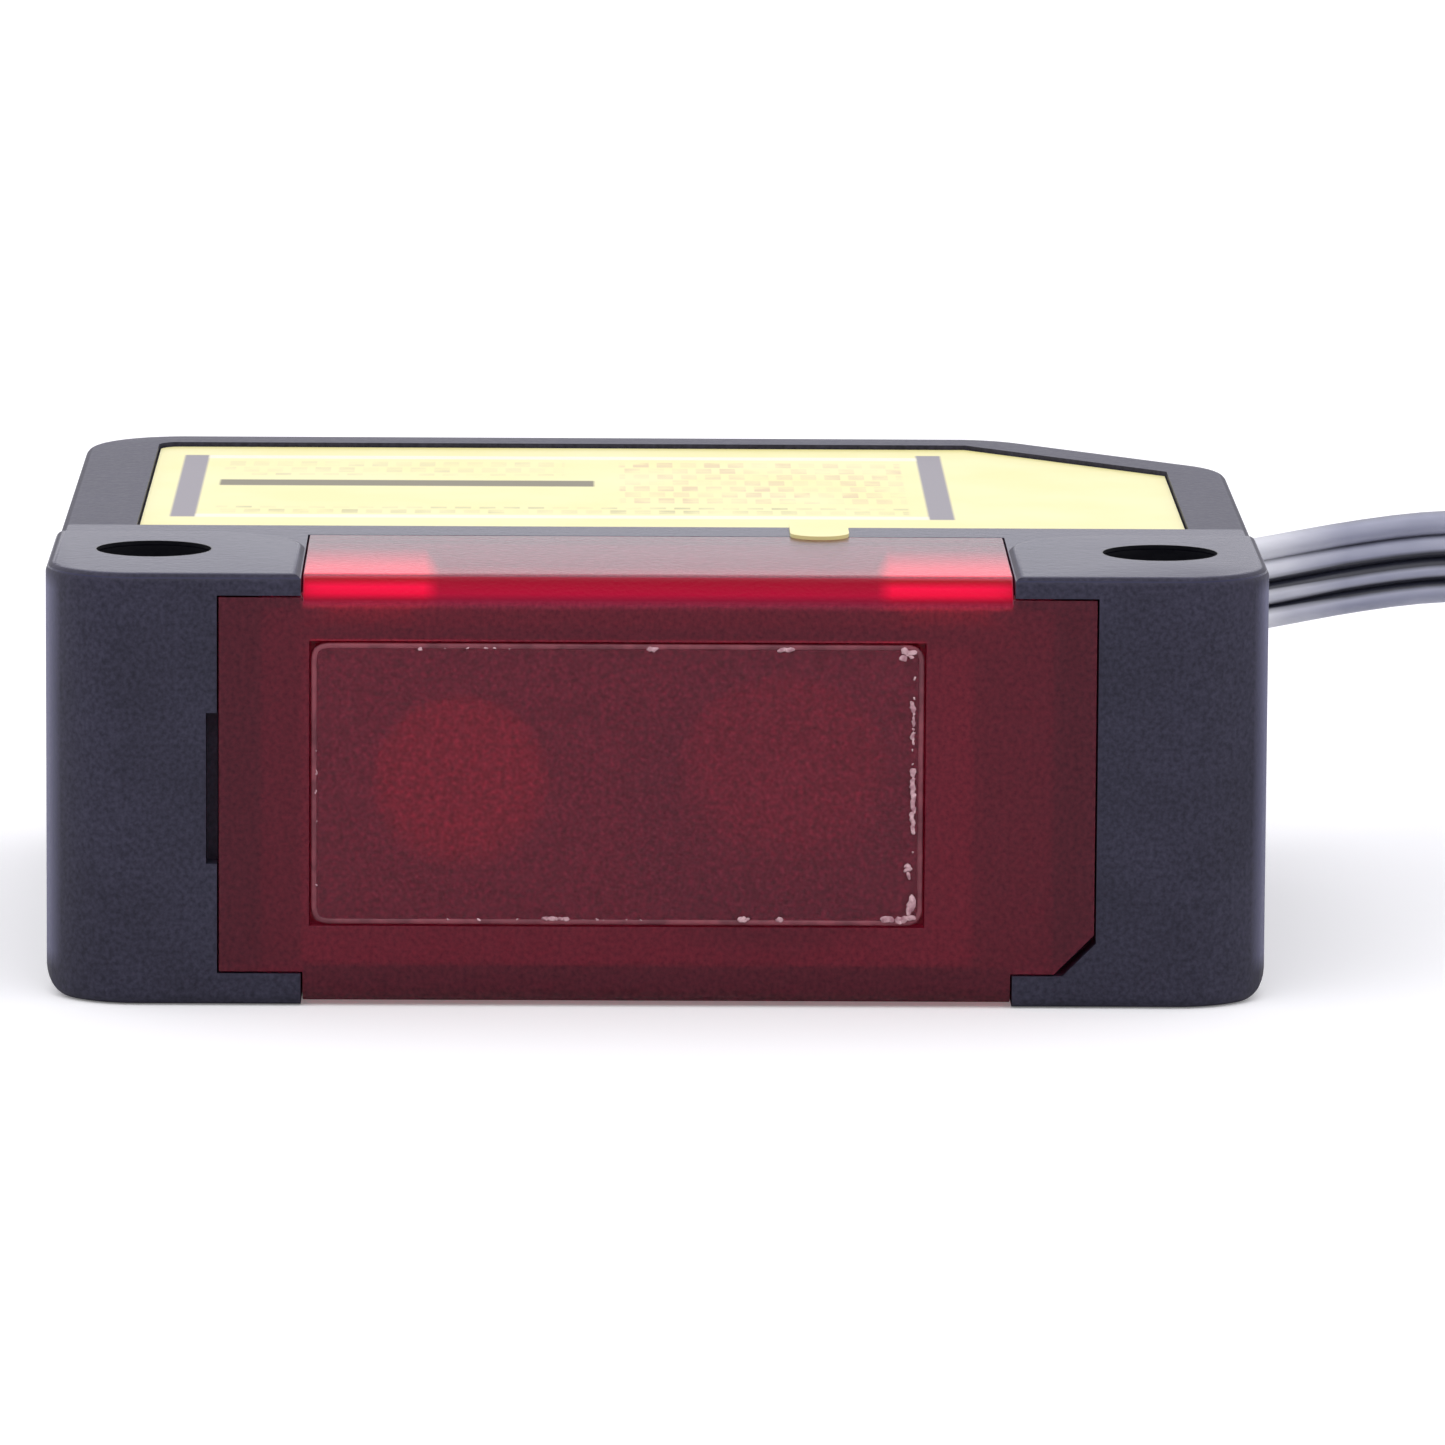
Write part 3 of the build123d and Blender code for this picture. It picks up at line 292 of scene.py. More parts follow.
def body_plastic(name, codes):
    """Spark-eroded plastic whose clamping faces are smoother."""
    material, tree, shader, place = finish(name, 0.5, level=0.2)
    x, y, z = put(tree, "ShaderNodeSeparateXYZ", {0: place}).outputs
    either = put(tree, "ShaderNodeMath", {0: x}, operation="ABSOLUTE").outputs[0]
    tone, speck = two_tones(tree, place, GRAIN_MM, codes, 0.3, 0.7)
    cloud = two_tones(tree, place, 2.6, ("#E8E8E8", "#FFFFFF"))[0]
    shade = {0: 1.0, 6: tone, 7: cloud}
    shade = put(tree, "ShaderNodeMix", shade, data_type="RGBA", blend_type="MULTIPLY")

    # Worn: all of an ear's top and of the bar behind the cover, less of the other rims
    pad = zone(tree, z, *PAD_TOP, 0.01)
    top = zone(tree, z, *RIM_TOP, 0.01)
    bar = {0: zone(tree, y, *BAR_DEPTH), 1: top}
    bar = put(tree, "ShaderNodeMath", bar, operation="MULTIPLY").outputs[0]
    worn = put(tree, "ShaderNodeMix", {0: top, 2: 0.0, 3: 0.42}).outputs[0]
    for mask in (pad, bar):
        worn = put(tree, "ShaderNodeMath", {0: worn, 1: mask}, operation="MAXIMUM").outputs[0]

    # Painted sheen: the outer part of the two upright front corners is painted paler
    painted_corner_sheen = zone(tree, either, *CORNER_X)
    for mask in (zone(tree, y, *CORNER_Y, 0.4), zone(tree, z, *CORNER_Z, 0.25)):
        painted_corner_sheen = {0: painted_corner_sheen, 1: mask}
        painted_corner_sheen = put(tree, "ShaderNodeMath", painted_corner_sheen, operation="MULTIPLY").outputs[0]

    # Painted shade: inside the two bores the colour goes nearly black
    axis = (BORE_X * MM, BORE_Y * MM, 0)
    apart = {0: put(tree, "ShaderNodeCombineXYZ", {0: either, 1: y}).outputs[0], 1: axis}
    apart = put(tree, "ShaderNodeVectorMath", apart, operation="DISTANCE").outputs["Value"]
    wall = {
        0: apart,
        "From Min": BORE_RADIUS * MM,
        "From Max": (BORE_RADIUS + 0.06) * MM,
        "To Min": 1,
        "To Max": 0,
    }
    painted_bore_shade = put(tree, "ShaderNodeMapRange", wall).outputs[0]

    colour = shade.outputs[2]
    # Laid on the tone in turn: the smoother tops' colour, the painted corner sheen and the
    # painted bore shade
    for mask, code in ((worn, "#30304A"), (painted_corner_sheen, "#6C6C86"), (painted_bore_shade, "#0C0C14")):
        laid_on = {0: mask, 6: colour, 7: paint(code)}
        colour = put(tree, "ShaderNodeMix", laid_on, data_type="RGBA").outputs[2]
    tree.links.new(colour, shader["Base Color"])
    rough = {0: speck, "To Min": 0.46, "To Max": 0.58}
    rough = {0: worn, 2: put(tree, "ShaderNodeMapRange", rough).outputs[0], 3: 0.26}
    tree.links.new(put(tree, "ShaderNodeMix", rough).outputs[0], shader["Roughness"])
    relief(tree, shader, place, GRAIN_MM, 0.009)
    relief(tree, shader, place, 0.32, 0.01)
    return material


BODY = body_plastic("pbt_charcoal_spark_eroded", ("#2A2938", "#403E50"))
LID = body_plastic("pbt_black_lid", ("#222228", "#2E2E36"))
print("body finishes made")

# %% [markdown]
# The front cover is a tinted transparent plastic, PMMA, with a satin surface. The inside
# behind it is dark, so it looks like deep wine red. Its sloped upper edge shows the light
# that travels in the sheet as a painted glow: the cover's own finish emits bright red on the
# slope, most of all at both ends, where the indicators sit under it, and a painted red glow
# also tints the flange behind the slope. The slope's colour from its foot to its crest is
# painted to match, with a paler painted highlight at the crest of both ends.
# The window in it is a thin plate of the same tint, polished on both faces.

# %% Finish of the red cover
FRONT_Y = -15.2
SLOPE_BACK = FRONT_Y + 0.95
SLOPE_FOOT, SLOPE_TOP = 11.12, 11.9
SLOPE_DEPTH = (-20, SLOPE_BACK)
TOP_FACE = (11.86, 13)
TONGUE_X = (-1, 9.72)
LIT_END_X = (6.22, 30)
LIT_FROM_Z, LIT_FULL_Z = 11.1, 11.32
COVER_ROUGH, COVER_THROUGH = 0.34, 0.88
GLOW_STOPS = [0.0, 0.22, 0.42, 0.62, 0.84, 1.0]
# For the middle and for the two ends: the slope's painted colours from its foot up, how
# strongly its painted glow shines, how strongly the painted glow on the flange behind it
# does, and where that has died away
GLOWS = [
    (["#5A1020", "#84082C", "#B00030", "#A8002A", "#980022", "#A01034"], 0.04, 0.12, -12.6),
    (["#5A0418", "#900024", "#EA0038", "#F40640", "#A00012", "#E8506A"], 0.1, 0.66, -9.0),
]


def red_sheet(name, codes, rough, through, level):
    """Red transparent plastic with a light haze: what `finish` gives, and its tone.

    The satin skin scatters what a polished sheet would mirror, so the index is low.
    """
    material, tree, shader, place = finish(name, rough, ior=1.36, level=level)
    tone = two_tones(tree, place, GRAIN_MM, codes, 0.3, 0.7)[0]
    tree.links.new(tone, shader["Base Color"])
    shader["Transmission Weight"].default_value = through
    relief(tree, shader, place, GRAIN_MM, 0.012)
    return material, tree, shader, place, tone


COVER, tree, shader, place, cover_tone = red_sheet(
    "pmma_dark_red_satin", ("#AE2850", "#E8426E"), COVER_ROUGH, COVER_THROUGH, 0.1
)
x, y, z = put(tree, "ShaderNodeSeparateXYZ", {0: place}).outputs
side = put(tree, "ShaderNodeMath", {0: x}, operation="ABSOLUTE").outputs[0]
at_end = zone(tree, side, *LIT_END_X, 0.22)
on_tongue = zone(tree, side, *TONGUE_X, 0.02)
on_slope = zone(tree, y, *SLOPE_DEPTH, 0.03)
on_top = zone(tree, z, *TOP_FACE, 0.01)

rise = {0: z, "From Min": SLOPE_FOOT * MM, "From Max": SLOPE_TOP * MM}
height = put(tree, "ShaderNodeMapRange", rise).outputs[0]
colours, slope_shines, flange_shines, ends_at = zip(*GLOWS)
glows = []
for codes in colours:
    ramp = put(tree, "ShaderNodeValToRGB", {0: height})
    stops = ramp.color_ramp.elements
    for position in GLOW_STOPS[1:-1]:
        stops.new(position)
    for stop, code in zip(stops, codes):
        stop.color = paint(code)
    glows.append(ramp.outputs[0])
# Painted glow colour of the slope: the middle's ramp, and the brighter ramp of the two ends
painted_glow_colour = put(
    tree, "ShaderNodeMix", {0: at_end, 6: glows[0], 7: glows[1]}, data_type="RGBA"
).outputs[2]

fade = {0: z, "From Min": LIT_FROM_Z * MM, "From Max": LIT_FULL_Z * MM}
lit = put(tree, "ShaderNodeMapRange", fade, interpolation_type="SMOOTHSTEP").outputs[0]
for mask in (on_tongue, on_slope):
    lit = put(tree, "ShaderNodeMath", {0: lit, 1: mask}, operation="MULTIPLY").outputs[0]
slope_shine, flange_shine, flange_end = [
    put(tree, "ShaderNodeMapRange", {0: at_end, "To Min": middle, "To Max": end}).outputs[0]
    for middle, end in (slope_shines, flange_shines, [y_mm * MM for y_mm in ends_at])
]
spill = {
    0: y,
    "From Min": SLOPE_BACK * MM,
    "From Max": flange_end,
    "To Min": flange_shine,
    "To Max": 0,
}
behind = put(tree, "ShaderNodeMapRange", spill).outputs[0]
for mask in (on_top, on_tongue):
    behind = {0: behind, 1: mask}
    behind = put(tree, "ShaderNodeMath", behind, operation="MULTIPLY").outputs[0]
bright = {0: slope_shine, 1: lit}
bright = put(tree, "ShaderNodeMath", bright, operation="MULTIPLY").outputs[0]
bright = put(tree, "ShaderNodeMath", {0: bright, 1: behind}, operation="ADD").outputs[0]
# Painted glow: emission on the lit slope, and on the flange behind it near the slope
tree.links.new(bright, shader["Emission Strength"])

for target, first in (("Base Color", cover_tone), ("Emission Color", paint("#FF1040"))):
    mixed = {0: lit, 6: first, 7: painted_glow_colour}
    mixed = put(tree, "ShaderNodeMix", mixed, data_type="RGBA").outputs[2]
    tree.links.new(mixed, shader[target])
for target, mask, elsewhere, there in (
    ("Transmission Weight", lit, COVER_THROUGH, 0.1),
    ("Roughness", on_top, COVER_ROUGH, 0.18),
):
    limits = {0: mask, "To Min": elsewhere, "To Max": there}
    tree.links.new(put(tree, "ShaderNodeMapRange", limits).outputs[0], shader[target])
WINDOW = red_sheet("pmma_window_polished", ("#962E4C", "#D64A70"), 0.14, 0.84, 0.15)[0]
print("cover finishes made")

# %% [markdown]
# The plate on the upper face is a polyester film, printed pale yellow and sealed with a
# satin varnish. Whatever such a plate says is left off. Only fields and bars of colour
# stay: two grey bars that close the field at its ends, one dark bar, thin pale lines
# along the field, and faint rows of plain dashes where small print would be.

# %% Finish of the printed film
FILM_PRINT = [
    # x from and to, y from and to, colour
    ((-13.86, -13.14), (-1.8, 11.6), "#868088"),
    ((7.83, 8.56), (-1.86, 12.1), "#868088"),
    ((-12.65, -1.74), (4.95, 6.2), "#6A6030"),
    ((-13.14, 7.83), (-1.86, -1.2), "#FBF6DC"),
    ((-13.14, 7.83), (10.9, 11.6), "#FBF6DC"),
]
DASH_ROWS = [
    # x from and to, y from and to, colour, how strong
    ((-1.0, 7.3), (1.2, 10.4), "#D9AE86", 0.62),
    ((-12.6, -2.6), (7.2, 10.4), "#CDBC8A", 0.5),
    ((-12.6, 7.3), (-0.9, 0.5), "#A49A60", 0.6),
]

FILM, tree, shader, place = finish("polyester_film_pale_yellow", 0.34, level=0.35)
x, y = put(tree, "ShaderNodeSeparateXYZ", {0: place}).outputs[:2]
paper = two_tones(tree, place, 4.0, ("#FCF3A4", "#FEF7B2"))[0]
for across, along, code in FILM_PRINT:
    sides = {0: zone(tree, x, *across), 1: zone(tree, y, *along, 0.08)}
    field = put(tree, "ShaderNodeMath", sides, operation="MULTIPLY").outputs[0]
    print_on = {0: field, 6: paper, 7: paint(code)}
    paper = put(tree, "ShaderNodeMix", print_on, data_type="RGBA").outputs[2]
dashes = put(
    tree,
    "ShaderNodeTexBrick",
    {
        "Vector": place,
        "Color1": (1, 1, 1, 1),
        "Color2": (0.2, 0.2, 0.2, 1),
        "Mortar": (0, 0, 0, 1),
        "Scale": 1 / MM,
        "Mortar Size": 0.14,
        "Mortar Smooth": 0.3,
        "Brick Width": 0.7,
        "Row Height": 1.3,
    },
    offset=0.37,
).outputs[0]
uneven_ink = two_tones(tree, place, 1.3, ("#000000", "#FFFFFF"), 0.3, 0.6)[1]
for across, along, code, weight in DASH_ROWS:
    area = {0: zone(tree, x, *across), 1: zone(tree, y, *along)}
    field = put(tree, "ShaderNodeMath", area, operation="MULTIPLY").outputs[0]
    share = {0: dashes, "To Min": 0, "To Max": weight}
    share = {0: put(tree, "ShaderNodeMapRange", share).outputs[0], 1: uneven_ink}
    share = put(tree, "ShaderNodeMath", share, operation="MULTIPLY").outputs[0]
    dashed = {0: field, 1: share}
    mask = put(tree, "ShaderNodeMath", dashed, operation="MULTIPLY").outputs[0]
    print_on = {0: mask, 6: paper, 7: paint(code)}
    paper = put(tree, "ShaderNodeMix", print_on, data_type="RGBA").outputs[2]
tree.links.new(paper, shader["Base Color"])
relief(tree, shader, place, 0.6, 0.002)
print("film finish made")

# %% [markdown]
# Everything else has a plain industrial finish: matt black plastics in the optics, clear
# lenses, turned brass, tinned and plated metal, green laminate with copper tracks under
# the lacquer, moulded chips, and the parts of the plug. Three short functions serve them:
# one for cast surfaces, one for metal with drawn lines and one for clear material.


# %% Finishes of the other pieces
def cast(name, codes, rough, size_mm, depth_mm=0.004):
    """A moulded or cast surface: two close tones in clouds and a fine grain."""
    material, tree, shader, place = finish(name, rough)
    tone, cloud = two_tones(tree, place, size_mm, codes)
    tree.links.new(tone, shader["Base Color"])
    limits = {0: cloud, "To Min": rough * 0.85, "To Max": min(rough * 1.2, 1)}
    tree.links.new(put(tree, "ShaderNodeMapRange", limits).outputs[0], shader["Roughness"])
    relief(tree, shader, place, size_mm / 6, depth_mm)
    return material


def drawn(name, codes, rough, stretch, line_mm):
    """Metal with fine parallel lines: clouds squeezed across and drawn out along."""
    material, tree, shader, place = finish(name, rough, metal=1.0)
    long_way = put(tree, "ShaderNodeMapping", {"Vector": place, "Scale": stretch}).outputs[0]
    tone, lines = two_tones(tree, long_way, line_mm, codes, 0.3, 0.7)
    tree.links.new(tone, shader["Base Color"])
    limits = {0: lines, "To Min": rough * 0.8, "To Max": rough * 1.3}
    tree.links.new(put(tree, "ShaderNodeMapRange", limits).outputs[0], shader["Roughness"])
    relief(tree, shader, long_way, line_mm, 0.002)
    return material


def clear(name, codes, rough, through, size_mm=0.8):
    """Clear material with a trace of haze that varies."""
    material, tree, shader, place = finish(name, rough, ior=1.52)
    tone, haze = two_tones(tree, place, size_mm, codes)
    tree.links.new(tone, shader["Base Color"])
    shader["Transmission Weight"].default_value = through
    limits = {0: haze, "To Min": rough, "To Max": rough + 0.06}
    tree.links.new(put(tree, "ShaderNodeMapRange", limits).outputs[0], shader["Roughness"])
    return material


LAMINATE, tree, shader, place = finish("green_laminate", 0.3)
tracks = put(
    tree,
    "ShaderNodeTexBrick",
    {
        "Vector": place,
        "Color1": paint("#0C4426"),
        "Color2": paint("#12562F"),
        "Mortar": paint("#2B7A45"),
        "Scale": 1000 / 3.2,
        "Mortar Size": 0.035,
        "Mortar Smooth": 0.2,
    },
    offset=0.35,
    squash=1.6,
)
tree.links.new(tracks.outputs["Color"], shader["Base Color"])
raised = {"Height": tracks.outputs["Fac"], "Distance": 0.03 * MM}
tree.links.new(put(tree, "ShaderNodeBump", raised).outputs[0], shader["Normal"])

FINISHES = {
    "housing": BODY,
    "lid": LID,
    "front_cover": COVER,
    "window_plate": WINDOW,
    "label": FILM,
    "optics_board": LAMINATE,
    "main_board": LAMINATE,
    "aperture_plate": cast("matt_black_film", ("#1C1C20", "#26262C"), 0.8, 1.2),
    "optics_block": cast("black_polycarbonate", ("#0E0E10", "#17171A"), 0.6, 1.5),
    "emitter_lens": clear("moulded_lens_orange", ("#FF9A78", "#FFB896"), 0.45, 0.1, 1.6),
    "receiver_lens": clear("moulded_lens_clear", ("#D8C8D0", "#E8DCE4"), 0.2, 0.7, 1.6),
    "laser_holder": drawn("turned_brass", ("#B58A3C", "#D8B565"), 0.3, (8, 1, 8), 0.3),
    "laser_diode": drawn("plated_steel_can", ("#9A968A", "#C9C4B6"), 0.25, (1, 6, 1), 0.3),
    "receiver_filter": clear("coated_filter_glass", ("#7A1C3C", "#8A2446"), 0.04, 0.8),
    "photodiode": cast("clear_over_black_epoxy", ("#101014", "#1C1C24"), 0.15, 0.9),
    "shield_can": drawn("tinned_sheet_steel", ("#A8A8A8", "#C8C8C6"), 0.28, (1, 1, 9), 0.25),
    "amplifier_chip": cast("moulded_epoxy_black", ("#141416", "#202024"), 0.55, 0.5),
    "board_capacitors": cast("fired_ceramic_tan", ("#9C7A50", "#B08E62"), 0.5, 0.4),
    "link_pins": drawn("gold_plated_brass", ("#C69A45", "#E2C074"), 0.22, (1, 1, 6), 0.2),
    "indicator_left": clear("indicator_resin", ("#F6E6DC", "#FFF2E8"), 0.12, 0.6),
    "cable_grommet": cast("soft_pvc_black", ("#1B1B21", "#292932"), 0.48, 0.9),
    "cable_cores": cast("core_insulation_brown", ("#6E3B1C", "#87502C"), 0.4, 0.6),
    "plug_body": cast("nylon_black", ("#17171A", "#232328"), 0.38, 1.1),
    "plug_cover": cast("natural_nylon", ("#D2CCBE", "#DAD5C8"), 0.32, 1.4),
    "coil_tie": cast("tie_band_black", ("#131316", "#1D1D22"), 0.45, 0.7),
    "window_glue": clear("cured_adhesive_clear", ("#8A3C4C", "#BA5A6A"), 0.5, 0.5, 0.5),
}
PALE_ADHESIVE = cast("cured_adhesive_pale", ("#A87480", "#DEB6BC"), 0.45, 0.2)
for same, first in {
    "control_chip": "amplifier_chip",
    "driver_chip": "amplifier_chip",
    "indicator_right": "indicator_left",
    "plug_contacts": "link_pins",
}.items():
    FINISHES[same] = FINISHES[first]
for name, material in FINISHES.items():
    mesh = NODES[name].data
    mesh.materials.clear()
    mesh.materials.append(material)
print("finishes on", len(FINISHES), "nodes")

# %% [markdown]
# A path tracer loses the daylight that passes two tinted sheets, meets a part and comes
# out again. The parts behind the window get it back as a faint glow: a soft warm disc on
# the emitter lens, a weak one on the receiver lens that dies towards its lower edge, and
# a trace on the plate round them that leaves a dark crescent under the receiver.


# %% Light behind the window
def lit_inside(material, centre, radii_mm, codes):
    """A faint glow round a centre (x, z) in mm, for light that the red sheets let in."""
    tree = material.node_tree
    shader = tree.nodes["Principled BSDF"].inputs
    place = put(tree, "ShaderNodeTexCoord").outputs["Object"]
    middle = (centre[0] * MM, 0, centre[1] * MM)
    flat = {0: place, 1: (1, 0, 1)}
    flat = put(tree, "ShaderNodeVectorMath", flat, operation="MULTIPLY").outputs[0]
    apart = {0: flat, 1: middle}
    apart = put(tree, "ShaderNodeVectorMath", apart, operation="DISTANCE").outputs["Value"]
    limits = {0: apart, "From Min": radii_mm[0] * MM, "From Max": radii_mm[1] * MM}
    fade = put(tree, "ShaderNodeMapRange", limits, interpolation_type="SMOOTHSTEP").outputs[0]
    colours = {0: fade, 6: paint(codes[0]), 7: paint(codes[1])}
    glow = put(tree, "ShaderNodeMix", colours, data_type="RGBA").outputs[2]
    tree.links.new(glow, shader["Emission Color"])
    shader["Emission Strength"].default_value = 1.0


for node, centre, radii_mm, codes in [
    ("emitter_lens", (-5.5, 6.3), (1.9, 2.9), ("#7C2E24", "#3E1A20")),
    ("receiver_lens", (3.6, 7.0), (2.3, 3.4), ("#52242E", "#10080A")),
    ("aperture_plate", (3.0, 5.2), (3.2, 4.6), ("#0C0608", "#422229")),
]:
    lit_inside(FINISHES[node], centre, radii_mm, codes)
print("light behind the window made")

# %% [markdown]
# The lead's jacket is soft grey PVC with a silky skin. Shade is painted into the grooves
# between its strands: the outline that is swept along it carries a value that rises in a
# groove, and the finish darkens there. Painted shade also grows along the lead: a few
# millimetres from the body the strands are painted darker and the groove shade reaches further
# out.

# %% Finish of the lead
# Painted shade along the lead begins at the first x and is full at the second, in mm
UNSHADED_TO_X, SHADED_FROM_X = 18.3, 21.2

LEAD_PVC, tree, shader, place = finish("soft_pvc_silver_grey", 0.34, level=0.6)
along = {"Vector": place, "Scale": (0.35, 0.35, 1.4)}
streaks = put(tree, "ShaderNodeMapping", along).outputs[0]
silky, cloud = two_tones(tree, streaks, 1.3, ("#D2D3DE", "#FCFCFF"), 0.25, 0.75)
groove = put(tree, "ShaderNodeAttribute", attribute_name="groove").outputs["Fac"]
x = put(tree, "ShaderNodeSeparateXYZ", {0: place}).outputs[0]
away = {0: x, "From Min": UNSHADED_TO_X * MM, "From Max": SHADED_FROM_X * MM}
away = put(tree, "ShaderNodeMapRange", away).outputs[0]
full = {0: away, "To Min": 0.48, "To Max": 0.22}
full = put(tree, "ShaderNodeMapRange", full).outputs[0]
# Painted groove shade: the larger the value, the nearer the dark colour; away from the body
# less value is needed
depth = put(tree, "ShaderNodeMapRange", {0: groove, "From Min": 0.05, "From Max": full})
# Painted shade: away from the body the strands are multiplied darker
painted_falloff_tone = {0: away, 6: silky, 7: paint("#BABCCB")}
painted_falloff_tone = put(tree, "ShaderNodeMix", painted_falloff_tone, data_type="RGBA", blend_type="MULTIPLY").outputs[2]
shade = {0: depth.outputs[0], 6: painted_falloff_tone, 7: paint("#222432")}
tone = put(tree, "ShaderNodeMix", shade, data_type="RGBA").outputs[2]
tree.links.new(tone, shader["Base Color"])
limits = {0: cloud, "To Min": 0.28, "To Max": 0.42}
tree.links.new(put(tree, "ShaderNodeMapRange", limits).outputs[0], shader["Roughness"])
relief(tree, shader, place, 0.35, 0.008)
print("lead finish made")

# %% [markdown]
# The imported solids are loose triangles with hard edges. For each solid that shows, a copy
# is merged, its round faces are shaded smooth, and a tiny bevel on its sharp edges
# catches the light as real moulded edges do. The copy then stands for the node.


# %% Softened copies of the solids that show
CREST = (SLOPE_BACK, 11.88)


def soften(node, piece_name, bevel_mm, crest_mm=0):
    """A merged copy of a node with smooth shading and tiny rounded edges."""
    mesh = NODES[node].data.copy()
    mesh.name = piece_name
    shading = mesh.attributes.get("custom_normal")
    if shading:
        mesh.attributes.remove(shading)
    shape = bmesh.new()
    shape.from_mesh(mesh)
    bmesh.ops.remove_doubles(shape, verts=shape.verts, dist=2e-6)
    bmesh.ops.dissolve_limit(
        shape, angle_limit=math.radians(1.0), verts=shape.verts, edges=shape.edges
    )
    if crest_mm:
        crest = [
            edge
            for edge in shape.edges
            if all(math.dist(end.co.yz / MM, CREST) < 0.03 for end in edge.verts)
        ]
        bmesh.ops.bevel(
            shape, geom=crest, offset=crest_mm * MM, segments=5, profile=0.5, affect="EDGES"
        )
        print("crest edges rounded:", len(crest))
    shape.to_mesh(mesh)
    shape.free()
    mesh.shade_smooth()
    mesh.set_sharp_from_angle(angle=math.radians(32))
    piece = new_piece(piece_name, mesh)
    if bevel_mm:
        rounding = piece.modifiers.new("tiny_edges", "BEVEL")
        rounding.width = bevel_mm * MM
        rounding.segments = 2
        rounding.limit_method = "ANGLE"
        rounding.angle_limit = math.radians(40)
        rounding.use_clamp_overlap = True
        rounding.harden_normals = True
    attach(piece, "root")
    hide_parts(node)
    print(piece_name, "has", len(mesh.polygons), "faces")


soften("front_cover", "red_front_cover", 0.03, crest_mm=0.3)
for node, piece_name, slot, bevel_mm in [
    ("housing", "moulded_body", "housing_plastic", 0.05),
    ("label", "printed_film", "label_film", 0),
    ("cable_grommet", "strain_relief", "grommet_rubber", 0.05),
    ("plug_body", "plug_shell", "plug_plastic", 0.08),
    ("plug_cover", "plug_lid", "plug_cover_plastic", 0.08),
    ("emitter_lens", "emitter_lens_polished", "lens_plastic", 0),
    ("receiver_lens", "receiver_lens_polished", "lens_plastic", 0),
]:
    soften(node, piece_name, bevel_mm)

# The plate's back lies on the pocket's floor. Two faces in one place would trap the
# light between them, so the plate is made a little thinner.
PLATE_BACK_FROM_Y, PLATE_THINNER = FRONT_Y + 0.4, 0.02
soften("window_plate", "polished_window", 0.02)
for vertex in bpy.data.objects["polished_window"].data.vertices:
    if vertex.co.y > PLATE_BACK_FROM_Y * MM:
        vertex.co.y -= PLATE_THINNER * MM

# %% [markdown]
# Three pieces have one outline all along a line: the ribbed lead, the band round its coil
# and the bead of adhesive round the window. One geometry tree makes them all. It turns
# the line into a curve, makes its points even, sets its thickness from a value on the
# line's points, and sweeps an outline along it. For the lead it also keeps the strip
# upright through every turn, and lays the last stretch flat before the plug.


# %% Lines and outlines to sweep
BLOBS_PER_METRE = 1900


def new_loop(name, places, closed=True, **values):
    """A mesh of edges through places in mm, with a value on each point per name."""
    mesh = bpy.data.meshes.new(name)
    count = len(places)
    edges = [(step, (step + 1) % count) for step in range(count if closed else count - 1)]
    mesh.from_pydata([(x * MM, y * MM, z * MM) for x, y, z in places], edges, [])
    for value_name, numbers in values.items():
        layer = mesh.attributes.new(value_name, "FLOAT", "POINT")
        layer.data.foreach_set("value", numbers)
    return new_piece(name, mesh)


def rounded_loop(width, height, radius, steps=5):
    """Corners of a rounded rectangle about the origin, in mm, as pairs."""
    places = []
    for quarter, (side, up) in enumerate([(1, 1), (-1, 1), (-1, -1), (1, -1)]):
        for step in range(steps + 1):
            angle = math.pi / 2 * (quarter + step / steps)
            across = side * (width / 2 - radius) + radius * math.cos(angle)
            places.append((across, up * (height / 2 - radius) + radius * math.sin(angle)))
    return places


tree, given, result = new_recipe(
    "swept_outline",
    {
        "Outline": "Object",
        "Finish": "Material",
        "Step": "Float",
        "Upright": "Bool",
        "Twist": "Float",
        "Twist Length": "Float",
        "Unevenness": "Float",
    },
)
curve = put(tree, "GeometryNodeMeshToCurve", {"Mesh": given["Geometry"]}).outputs[0]
even = put(
    tree, "GeometryNodeResampleCurve", {"Curve": curve, "Length": given["Step"]}, mode="LENGTH"
).outputs[0]
level = put(tree, "GeometryNodeSetCurveNormal", {"Curve": even}, mode="Z_UP").outputs[0]
choice = {"Switch": given["Upright"], "False": even, "True": level}
line = put(tree, "GeometryNodeSwitch", choice, input_type="GEOMETRY").outputs[0]
total = put(tree, "GeometryNodeSplineLength").outputs["Length"]
gone = put(tree, "GeometryNodeSplineParameter").outputs["Length"]
left = put(tree, "ShaderNodeMath", {0: total, 1: gone}, operation="SUBTRACT").outputs[0]
limits = {
    0: left,
    "From Min": 1.5 * MM,
    "From Max": given["Twist Length"],
    "To Min": given["Twist"],
    "To Max": 0,
}
tilt = put(tree, "ShaderNodeMapRange", limits, interpolation_type="SMOOTHSTEP").outputs[0]
line = put(tree, "GeometryNodeSetCurveTilt", {"Curve": line, "Tilt": tilt}).outputs[0]
swell = put(
    tree, "GeometryNodeInputNamedAttribute", {"Name": "swell"}, data_type="FLOAT"
).outputs[0]
blobs = put(tree, "ShaderNodeTexNoise", {"Scale": BLOBS_PER_METRE, "Detail": 2}).outputs[0]
thin = {0: 1, 1: given["Unevenness"]}
limits = {
    0: blobs,
    "From Min": 0.35,
    "From Max": 0.65,
    "To Min": put(tree, "ShaderNodeMath", thin, operation="SUBTRACT").outputs[0],
    "To Max": put(tree, "ShaderNodeMath", thin, operation="ADD").outputs[0],
}
uneven = put(tree, "ShaderNodeMapRange", limits).outputs[0]
radius = put(tree, "ShaderNodeMath", {0: swell, 1: uneven}, operation="MULTIPLY").outputs[0]
